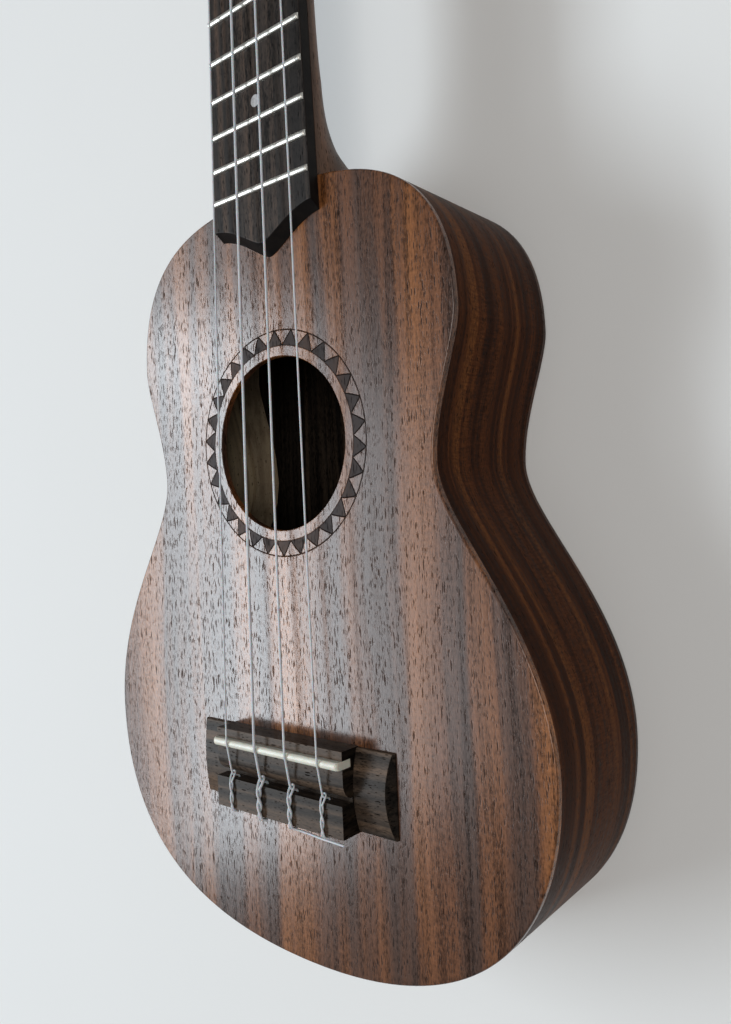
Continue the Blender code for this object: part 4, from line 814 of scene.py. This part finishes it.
def makeBridge():
    f, slotHalf = bridgeForm, saddleForm["thickness"] / 2 + 0.00005
    ramp = [(rampTopY - f["rampWidth"] * s, ridgeTop - (ridgeTop - channelTop) * (1 - c))
            for c, s in arc(0, 0.5, 14)]
    profile = [(ridgeFrontY, top), (ridgeFrontY, ridgeTop), (saddleY + slotHalf, ridgeTop),
               (saddleY + slotHalf, channelTop), (saddleY - slotHalf, channelTop), (saddleY - slotHalf, ridgeTop),
               *ramp, (tieFrontY, channelTop), (tieFrontY, tieTop), (tieRearY, tieTop), (tieRearY, top)]
    centre = lofted("bridgeBlock", [[(x, y, z) for y, z in profile] for x in (-f["centreHalf"], f["centreHalf"])],
                    angle=28.0)
    holes = [[circle((stringX(index, saddleY), y, holeLevel), f["holeRadius"], 24, "Y")
              for y in (tieRearY - 0.001, tieFrontY + 0.001)] for index in range(4)]
    cut(centre, lofted("tieHoles", *holes), angle=28.0)
    paintShadeOnEnds(centre)
    soften(centre, f["edge"], angle=50.0)
    seat(centre, "bridgeWood bridgeEnd", "dark_wood", "bridge")

    middle, reach, wings = (ridgeFrontY + tieRearY) / 2, (ridgeFrontY - tieRearY) / 2, []
    stations = ((f["centreHalf"] - 0.001, 0), (f["half"] - 0.004, 0), (f["half"], f["facetSlope"]),
                (f["half"], -1))
    for side in (-1, 1):
        rings = []
        for x, slope in stations:
            crown = []
            for i in range(25):
                across = 1 - 2 * i / 24
                z = 0.0004
                if slope >= 0:
                    z = f["wingEdge"] + (f["wingCrown"] - f["wingEdge"]) * (1 - across * across)
                crown.append((side * (x - max(slope, 0) * z), middle + across * (reach - 0.0003), top + z))
            rings.append([(side * x, middle + reach - 0.0002, top), *crown,
                          (side * x, middle - reach + 0.0002, top)])
        wings.append(rings)
    wing = lofted("bridgeWings", *wings, angle=28.0)
    paintShadeOnEnds(wing)
    soften(wing, f["wingRound"], angle=35.0)
    seat(wing, "bridgeWood bridgeEnd", "dark_wood")


def makeSaddle():
    f = saddleForm
    wide, ends = f["thickness"] / 2, rounded(f["half"], 0, f["endRound"], -f["endRound"], 6)
    rings = []
    for x, drop in [(-x, drop) for x, drop in reversed(ends)] + ends:
        crown = [(x, saddleY + wide * c, saddleTop - drop - f["crest"] * (1 - s))
                 for c, s in arc(0, 1, 14)]
        rings.append([(x, saddleY + wide, channelTop), *crown, (x, saddleY - wide, channelTop)])
    seat(lofted("saddleBlade", rings, angle=40.0), "bone", "bone", "saddle")


makeNut()
makeBridge()
makeSaddle()
print("bridge made")


# Strings: tied and twisted at the bridge, straight to the nut, wound on their posts

stringForm = dict(
    twistTurns=1.0, twistSteps=30, twistEnd=0.0006, wrapSpace=0.0006, wrapTurns=2.5, wrapSteps=48, tail=0.003,
    holeSpare=0.0005, eyeRoom=0.00035, eyeReach=0.0017)
postForm = dict(
    radius=0.003, waist=0.0026, waistLow=0.0028, height=0.0125, cap=0.0032, capHeight=0.0018, capRound=0.0006,
    slope=0.0004, overHole=0.0003, edge=0.00012)


def twistStrand(x, middle, apart, phase):
    strand, end, steps = [], stringForm["twistEnd"], stringForm["twistSteps"]
    for i in range(steps + 1):
        turn = phase + tau * stringForm["twistTurns"] * i / steps
        y = tieRearY + end + (bridgeForm["tieWidth"] - 2 * end) * i / steps
        strand.append((x + apart * cos(turn), y, middle + apart * sin(turn)))
    return strand


def smoothed(points, steps):
    points = [Vector(p) for p in points]
    chain = [points[0] * 2 - points[1], *points, points[-1] * 2 - points[-2]]
    found = []
    for a, b, c, d in zip(chain, chain[1:], chain[2:], chain[3:]):
        pieces = steps if (c - b).length < 0.02 else 1
        for i in range(pieces):
            t = i / pieces
            found.append(b + ((c - a) * t + (a * 2 - b * 5 + c * 4 - d) * t * t
                              + (b * 3 - a - c * 3 + d) * t**3) * 0.5)
    return found + [points[-1]]


def tieRoute(index, name):
    radius, x = stringGauges[name] / 2, stringX(index, saddleY)
    over, apart, loop = radius + 0.00002, radius + 0.00006, radius + stringForm["eyeRoom"]
    middle, crest, rear = tieTop + over + apart, saddleTop + over, tieRearY - over
    leadIn = ((saddleY + 0.001, crest + 0.00002), (saddleY, crest),
              (saddleY - saddleForm["thickness"] / 2 - 0.0002, crest - over * 1.1),
              (tieFrontY + 0.003, tieTop + 0.0003), (tieFrontY + 0.0014, tieTop - 0.0004),
              (tieFrontY + 0.0009, tieTop - 0.0014), (tieFrontY + 0.0005, holeLevel + 0.0004),
              (tieFrontY - 0.0003, holeLevel), (tieFrontY - 0.0016, holeLevel), (tieRearY - 0.0001, holeLevel))
    under = [(x - apart / 3, rear - 0.0006, holeLevel + 0.0006), (x - apart, rear - 0.0007, tieTop - 0.0012),
             (x - apart, rear - 0.0002, middle - 0.0004)]
    closed = tieFrontY + stringForm["eyeReach"] + radius * 2
    bend = tieFrontY + (closed - tieFrontY) * 0.75
    right = [(loop * 0.4, closed, tieTop - radius * 2 - 0.0003), (loop * 1.05, bend, tieTop - 0.0006),
             (loop, tieFrontY + 0.0006, tieTop + radius * 0.6)]
    eye = [(x - out, y, z) for out, y, z in reversed(right)] + [(x + out, y, z) for out, y, z in right]
    first, second = twistStrand(x, middle, apart, pi), twistStrand(x, middle, apart, 0)[::-1]
    ending = [(x + apart, rear - 0.0001, middle - 0.0005), (x + apart + 0.0004, rear - 0.0008, tieTop - 0.0013)]
    if name == "e":  # its end runs on under the next string's knot
        level, behind, nextX = tieTop - 0.0012, tieRearY - radius - 0.0001, stringX(index + 1, saddleY)
        ending[1:] = [(x + 0.0014, behind - 0.0006, level + 0.0006), (x + 0.0045, behind - 0.001, level),
                      (nextX - 0.0022, behind - 0.0014, level), (nextX + 0.0022, behind - 0.0015, level),
                      (bridgeForm["centreHalf"] - 0.001, behind - 0.0016, level)]
    return [*[(x, y, z) for y, z in leadIn], *under, *first, *eye, *second, *ending]


def postRoute(name):
    along, out, side = tunerPlaces[name]
    f, radius = stringForm, stringGauges[name] / 2
    wind, pitch = postForm["waist"] + radius + 0.00003, 2 * radius + f["wrapSpace"]
    points = []
    for i in range(round((f["wrapTurns"] - 0.375) * f["wrapSteps"]) + 1):
        turn = pi - tau * i / f["wrapSteps"]
        level = postForm["waistLow"] + pitch + pitch * i / f["wrapSteps"]
        points.append((wind * cos(turn), wind * sin(turn), level))
    bend = f["holeSpare"] + radius
    hole = postForm["waistLow"] + pitch * (f["wrapTurns"] + 1.4)
    points += [(bend * (c - 1), wind - bend * 0.3 + bend * s, hole) for c, s in arc(0.5, 0, 6)]
    points.append((0, -(postForm["radius"] + f["tail"]), hole))
    return [headFrame @ Vector((side * (out + x), along + y, z)) for x, y, z in points], hole


def makeStrand(name, route, radius):
    curve = bpy.data.curves.new(name, "CURVE")
    curve.dimensions, curve.bevel_depth, curve.bevel_resolution, curve.use_fill_caps = "3D", radius, 3, True
    spline = curve.splines.new("POLY")
    spline.points.add(len(route) - 1)
    for point, place in zip(spline.points, route):
        point.co = (*place, 1)
    spline.use_smooth = True
    drawn = addObject(name, curve)
    mesh = finalMesh(drawn)
    bpy.data.objects.remove(drawn)
    return addObject(name, mesh)


def makeString(index, name):
    radius, x = stringGauges[name] / 2, stringX(index, nutY)
    wound = postRoute(name)[0]
    seatZ = boardTop + nutForm["seatRise"] + radius
    overNut = [(x, nutY + 0.0002, seatZ), (x, nutY + nutForm["rear"] - 0.0006, seatZ - nutForm["fall"] * 0.7)]
    free = smoothed(tieRoute(index, name)[::-1], 3) + overNut + wound[:1]
    seat(makeStrand("stringLength" + name.upper(), free, radius), "nylon", "nylon", "string_" + name)
    seat(makeStrand("stringWinding" + name.upper(), wound, radius), "nylon", "nylon", body="post_" + name)


for stringIndex, stringName in enumerate(stringNames):
    makeString(stringIndex, stringName)
print("strings made")


# Tuners: plate with two ears, worm, wheel, post, bush and button

gearForm = dict(
    teeth=14, module=0.00075, addendum=0.0006, dedendum=0.0008, backlash=0.00028, wheelWidth=0.003,
    wormPitch=0.0023, wormTurns=2.4, wormSteps=40, angle=radians(20.0), meshGap=0.0001,
    wheelGap=0.0003, wheelEdge=0.00008)
tunerForm = dict(
    plateGap=0.0003, plateHalf=0.0064, plateTail=0.0112, plateNose=0.0152, plateCorner=0.0016,
    plateThickness=0.001, earThickness=0.0014, earRoom=0.0046, earWall=0.0013, boreSpare=0.00012, spare=0.0002,
    edge=0.00022, screwRadius=0.0019, screwRim=0.00015, screwDome=0.0007, screwPlaces=(0.0128, -0.0088),
    slotHalf=0.0002, slotReach=0.62, slotFloor=0.00035, collarRadius=0.0024, collarLength=0.001, collarEdge=0.0001,
    wormEnd=0.0006, buttonClearance=0.0035, buttonLength=0.012, buttonLong=0.0074, buttonThick=0.0044,
    buttonFull=0.85, shaftInButton=0.006, bushFlange=0.005, bushHeight=0.0012, bushDepth=0.006, bushSpare=0.0001,
    bushWall=0.0009, bushRound=0.0008)
wheelRadius = gearForm["module"] * gearForm["teeth"] / 2
wormLead = pi * gearForm["module"]
wormRoot = gearForm["wormPitch"] - gearForm["dedendum"]
wormTip = gearForm["wormPitch"] + gearForm["addendum"]
plateBack = -(headForm["thickness"] + tunerForm["plateGap"] + tunerForm["plateThickness"])
wormLevel = plateBack - tunerForm["spare"] - wormTip
wormOffset = wheelRadius + gearForm["wormPitch"] + gearForm["meshGap"]
buttonShares = (  # distance along the button, width there
    (0.0, 0.1), (0.0, 0.42), (0.02, 0.5), (0.1, 0.74), (0.22, 0.88), (0.38, 0.97), (0.52, 1.0), (0.68, 0.985),
    (0.82, 0.94), (0.92, 0.86), (0.975, 0.72), (1.0, 0.5), (1.0, 0.1))
toothShares = (  # height on the tooth, side of it
    (-1.0, -1), (-0.1, -1), (0.75, -1), (1.0, -0.72), (1.0, 0.72), (0.75, 1), (-0.1, 1), (-1.0, 1))


def toothHalf(height):
    return wormLead / 4 - gearForm["backlash"] / 2 - height * tan(gearForm["angle"])


def placeOnHead(piece, name, worm=False):
    along, out, side = tunerPlaces[name]
    shift = (side * out, along + (wormOffset if worm else 0), wormLevel if worm else 0)
    piece.matrix_world = headFrame @ Matrix.Translation(shift)


def makeScrew(name, piece, spot, turn):
    f = tunerForm
    r, half, reach = f["screwRadius"], f["slotHalf"], f["screwRadius"] * f["slotReach"]
    dome = [(f["screwRim"] + f["screwDome"] * s, r * c + 0.00002) for c, s in arc(0, 0.5, 6)[1:]]
    head = lofted(name, turnedRings([(0.0, r), (f["screwRim"], r), *dome], 32))
    corners = [(-reach, -half), (reach, -half), (reach, half), (-reach, half)]
    cut(head, *(lofted(name + "Slot", prismRings(corners, f["slotFloor"], 0.002),
                       move=Matrix.Rotation(turn + extra, 4, "Z")) for extra in (0, pi / 2)))
    head.matrix_world = piece.matrix_world @ Matrix.Translation(spot) @ Matrix.Rotation(pi, 4, "X")
    return head


def makePlate(name):
    f = tunerForm
    bend, half, thick, outline = f["plateCorner"], f["plateHalf"], f["plateThickness"], []
    for cx, cy, start in ((1, f["plateNose"], 0), (-1, f["plateNose"], 0.5), (-1, -f["plateTail"], 1),
                          (1, -f["plateTail"], 1.5)):
        outline += [(cx * (half - bend) + bend * c, cy - copysign(bend, cy) + bend * s)
                    for c, s in arc(start, start + 0.5, 8)]
    plate = lofted("tunerPlate" + name.upper(), prismRings(outline, plateBack, plateBack + thick))
    r, foot, ears = wormRoot + f["earWall"], plateBack + thick / 2, []
    near, far = f["earRoom"], f["earRoom"] + f["earThickness"]
    for way in (-1, 1):
        ears.append([[(x, wormOffset + r, foot),
                      *((x, wormOffset + r * c, wormLevel + r * s) for c, s in arc(0, -1, 24)),
                      (x, wormOffset - r, foot)] for x in (way * near, way * far)])
    cut(plate, lofted("ears", *ears), operation="UNION")
    reach = f["earRoom"] + f["earThickness"] * 2
    across = [circle((x, wormOffset, wormLevel), wormRoot + f["boreSpare"], 40, "X") for x in (-reach, reach)]
    down = [circle((0, 0, z), postForm["radius"] + f["spare"], 48)
            for z in (plateBack - thick, plateBack + 2 * thick)]
    cut(plate, lofted("bores", across, down))
    soften(plate, f["edge"], angle=40.0)
    placeOnHead(plate, name)
    screws = [makeScrew("plateScrew%s%d" % (name.upper(), i), plate, (0, y, plateBack), 0.4 + i)
              for i, y in enumerate(f["screwPlaces"])]
    seat(plate, "nickel", "tuner_steel", "tuner_plate_" + name)
    for screw in screws:
        seat(screw, "nickel", "tuner_steel")


def makeBush(name):
    f = tunerForm
    bore, outer = postForm["radius"] + f["bushSpare"], postForm["radius"] + f["bushWall"]
    foot, flange, face = -f["bushDepth"], f["bushFlange"], f["bushHeight"]
    section = [(foot, bore), (foot, outer), (0.0, outer), (0.0, flange), (face * 0.45, flange),
               *rounded(face, flange, face * 0.55, f["bushRound"], 6)[1:], (face, bore)]
    bush = lofted("tunerBush" + name.upper(), turnedRings(section, 48), closed=True)
    placeOnHead(bush, name)
    seat(bush, "nickel", "tuner_steel", "tuner_bush_" + name)


def makePost(name):
    f, g, hole = postForm, gearForm, postRoute(name)[1]
    width, hub, low = g["wheelWidth"], wheelRadius - g["dedendum"] - g["wheelGap"], f["waistLow"]
    slope, face = f["slope"], plateBack - tunerForm["spare"]
    bore = stringGauges[name] / 2 + stringForm["holeSpare"]
    waistTop = hole + bore + f["overHole"]
    capTop = max(f["height"], waistTop + f["capHeight"])
    profile = [(wormLevel + width / 2 - slope, hub), (face, hub), (face, f["radius"]), (low, f["radius"]),
               (low + slope, f["waist"]), (waistTop, f["waist"]), (waistTop + slope, f["cap"]),
               *rounded(capTop, f["cap"], f["capRound"], f["capRound"], 6)]
    post = lofted("tunerPost" + name.upper(), turnedRings(profile, 48))
    cut(post, lofted("drill", [circle((0, y, hole), bore, 24, "Y") for y in (-0.006, 0.006)]))
    soften(post, f["edge"], angle=40.0)
    placeOnHead(post, name)

    twist = tunerPlaces[name][2] * wormLead / (tau * g["wormPitch"]) / wheelRadius
    rings = []
    for step in range(5):
        rise, ring = width * (step / 4 - 0.5), []
        for tooth in range(g["teeth"]):
            middle = pi / 2 + tau * (tooth + 0.5) / g["teeth"] + rise * twist
            for share, way in toothShares:
                h = share * g["addendum"] if share > 0 else max(share / 0.8, -1) * g["dedendum"]
                r, turn = wheelRadius + h, middle + way * toothHalf(h) / (wheelRadius + h)
                ring.append((r * cos(turn), r * sin(turn), wormLevel + rise))
        rings.append(ring)
    wheel = lofted("tunerWheel" + name.upper(), rings, angle=35.0)
    soften(wheel, g["wheelEdge"], 1, 60.0)
    wheel.matrix_world = post.matrix_world.copy()
    screw = makeScrew("wheelScrew" + name.upper(), wheel, (0, 0, wormLevel - width / 2), 0.9)
    seat(post, "nickel", "post_brass", "tuner_post_" + name, body="post_" + name)
    seat(wheel, "wheelBrass", "post_brass", body="post_" + name)
    seat(screw, "nickel", "tuner_steel", body="post_" + name)


def makeWorm(name):
    f, (place, out, side) = tunerForm, tunerPlaces[name]
    start = headHalf(place + wormOffset) - out + f["buttonClearance"]
    reach, spare, edge = f["earRoom"] + f["earThickness"], f["spare"], f["collarEdge"]
    inner, collar, wide = -(reach + f["wormEnd"]), reach + spare, f["collarRadius"]
    end = collar + f["collarLength"]
    profile = [(inner, wormRoot - spare), (inner + spare, wormRoot), (collar, wormRoot), (collar, wide - edge),
               (collar + edge, wide), (end - edge, wide), (end, wide - edge), (end, wormRoot),
               (start + f["shaftInButton"], wormRoot)]
    steps = round(gearForm["wormTurns"] * gearForm["wormSteps"])
    thread = []
    for i in range(steps + 1):
        along = (i - steps / 2) / gearForm["wormSteps"]
        turn = pi + tau * along
        tip = wormRoot + (wormTip - wormRoot) * min(1.0, min(i, steps - i) / 8 + 0.15)
        ring = []
        for r, way in ((wormRoot - spare, -1), (tip, -1), (tip, 1), (wormRoot - spare, 1)):
            x = wormLead * along + way * toothHalf(r - gearForm["wormPitch"])
            ring.append((side * x, r * cos(turn), r * sin(turn)))
        thread.append(ring)
    worm = lofted("tunerWorm" + name.upper(), turnedRings([(side * x, r) for x, r in profile], 40, "X"), thread,
                  angle=40.0)
    placeOnHead(worm, name, True)
    seat(worm, "nickel", "tuner_steel", "tuner_worm_" + name, body="worm_" + name)

    full = f["buttonFull"]
    rings = [[(side * (start + f["buttonLength"] * along), f["buttonLong"] * wide * signedPower(c, full),
               f["buttonThick"] * wide ** 0.8 * signedPower(s, full)) for c, s in arc(0, 2, 64)[:-1]]
             for along, wide in buttonShares]
    button = lofted("tunerButton" + name.upper(), rings, angle=50.0)
    placeOnHead(button, name, True)
    seat(button, "buttonPlastic", "button_plastic", "tuner_button_" + name, body="worm_" + name)


for stringName in stringNames:
    makePlate(stringName)
    makeBush(stringName)
    makePost(stringName)
    makeWorm(stringName)
print("tuners made")


# Inner pieces keep their solids and get raw wood

for nodeName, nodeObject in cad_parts.items():
    if not nodeObject.hide_render:
        along = "Upright" if nodeName.endswith("_block") else "Along" if "_lining_" in nodeName else ""
        nodeObject.data.materials.clear()
        nodeObject.data.materials.append(finishes["rawWood" + along])
print("inner pieces dressed")


# Floor, light and camera

studio = dict(
    floor=(0.78, 0.78, 0.77), floorLight=(0.8, 0.8, 0.79), floorFade=(2.4, 0.9), floorRoughness=0.85,
    aim=Vector((0.0, -0.13, 0.03)), distance=3.0, world=0.14, mirrored=0.3, backdrop=0.85,
    worldColour=(0.97, 0.98, 1.0))
lamps = {  # power, size, elevation, azimuth, colour
    "key": (55.0, (2.1, 0.64), 41.6, 186.0, (0.84, 0.93, 1.0)),
    "fill": (30.0, (1.6, 1.6), 55.0, 5.0, (1.0, 0.97, 0.93)),
    "top": (14.0, (2.4, 2.4), 76.0, -20.0, (1.0, 0.98, 0.96)),
    "veil": (7.5, (1.6, 0.5), 52.0, 190.0, (0.9, 0.95, 1.0)),
    "edge": (4.5, (0.8, 0.5), 35.0, 160.0, (0.84, 0.93, 1.0)),
}
cameraForm = dict(
    right=(0.77116, -0.04502, -0.63504), up=(0.03204, 0.99898, -0.03191), back=(0.63583, 0.00426, 0.77182),
    place=(0.182893, -0.116793, 0.233022), lens=28.7)


def makeFloor():
    shape = bmesh.new()
    bmesh.ops.create_grid(shape, x_segments=2, y_segments=2, size=3.0)
    floor = makeMesh("studioFloor", shape)
    floor.location.z = -0.0002
    paint = bpy.data.materials.new("floorPaint")
    paint.use_nodes = True
    building["tree"] = paint.node_tree
    shader = paint.node_tree.nodes["Principled BSDF"].inputs
    place = addNode("TexCoord").outputs["Object"]
    mottled = noise(stretched(place, (6.0, 6.0, 6.0)), 3.0)
    connect(blendColour(mottled, studio["floor"], studio["floorLight"]), shader["Base Color"])
    shader["Roughness"].default_value = studio["floorRoughness"]
    away = addNode("VectorMath", {0: place}, operation="LENGTH").outputs["Value"]
    under = addNode("NewGeometry").outputs["Backfacing"]
    connect(times(fade(away, *studio["floorFade"]), minus(1.0, under)), shader["Alpha"])
    floor.data.materials.append(paint)


def makeLamp(name, power, size, elevation, azimuth, colour):
    e, a = radians(elevation), radians(azimuth)
    direction = Vector((cos(e) * cos(a), cos(e) * sin(a), sin(e)))
    lamp = bpy.data.lights.new(name + "Lamp", "AREA")
    lamp.shape, lamp.energy, lamp.color = "RECTANGLE", power, colour
    lamp.size, lamp.size_y = size
    made = addObject(name + "Lamp", lamp)
    made.location = studio["aim"] + direction * studio["distance"]
    made.rotation_mode, made.rotation_quaternion = "QUATERNION", direction.to_track_quat("Z", "Y")


def makeWorld():
    scene.world = bpy.data.worlds.new("studio")
    scene.world.use_nodes = True
    building["tree"] = scene.world.node_tree
    backdrop = scene.world.node_tree.nodes["Background"].inputs
    seen = addNode("LightPath").outputs
    mirrored = larger(seen["Is Glossy Ray"], seen["Is Transmission Ray"])
    strength = calc("MULTIPLY_ADD", mirrored, studio["mirrored"] - studio["world"], studio["world"])
    connect(studio["worldColour"], backdrop["Color"])
    connect(larger(times(seen["Is Camera Ray"], studio["backdrop"]), strength), backdrop["Strength"])


def makeCamera():
    lens = bpy.data.cameras.new("camera")
    lens.lens, lens.sensor_width, lens.clip_start = cameraForm["lens"], 36.0, 0.01
    scene.camera = addObject("camera", lens)
    axes = Matrix([cameraForm[key] for key in ("right", "up", "back")]).transposed().to_4x4()
    scene.camera.matrix_world = Matrix.Translation(cameraForm["place"]) @ axes


makeFloor()
for lampName, lampSettings in lamps.items():
    makeLamp(lampName, *lampSettings)
makeWorld()
makeCamera()
scene.view_settings.view_transform = "Standard"
print("scene ready")
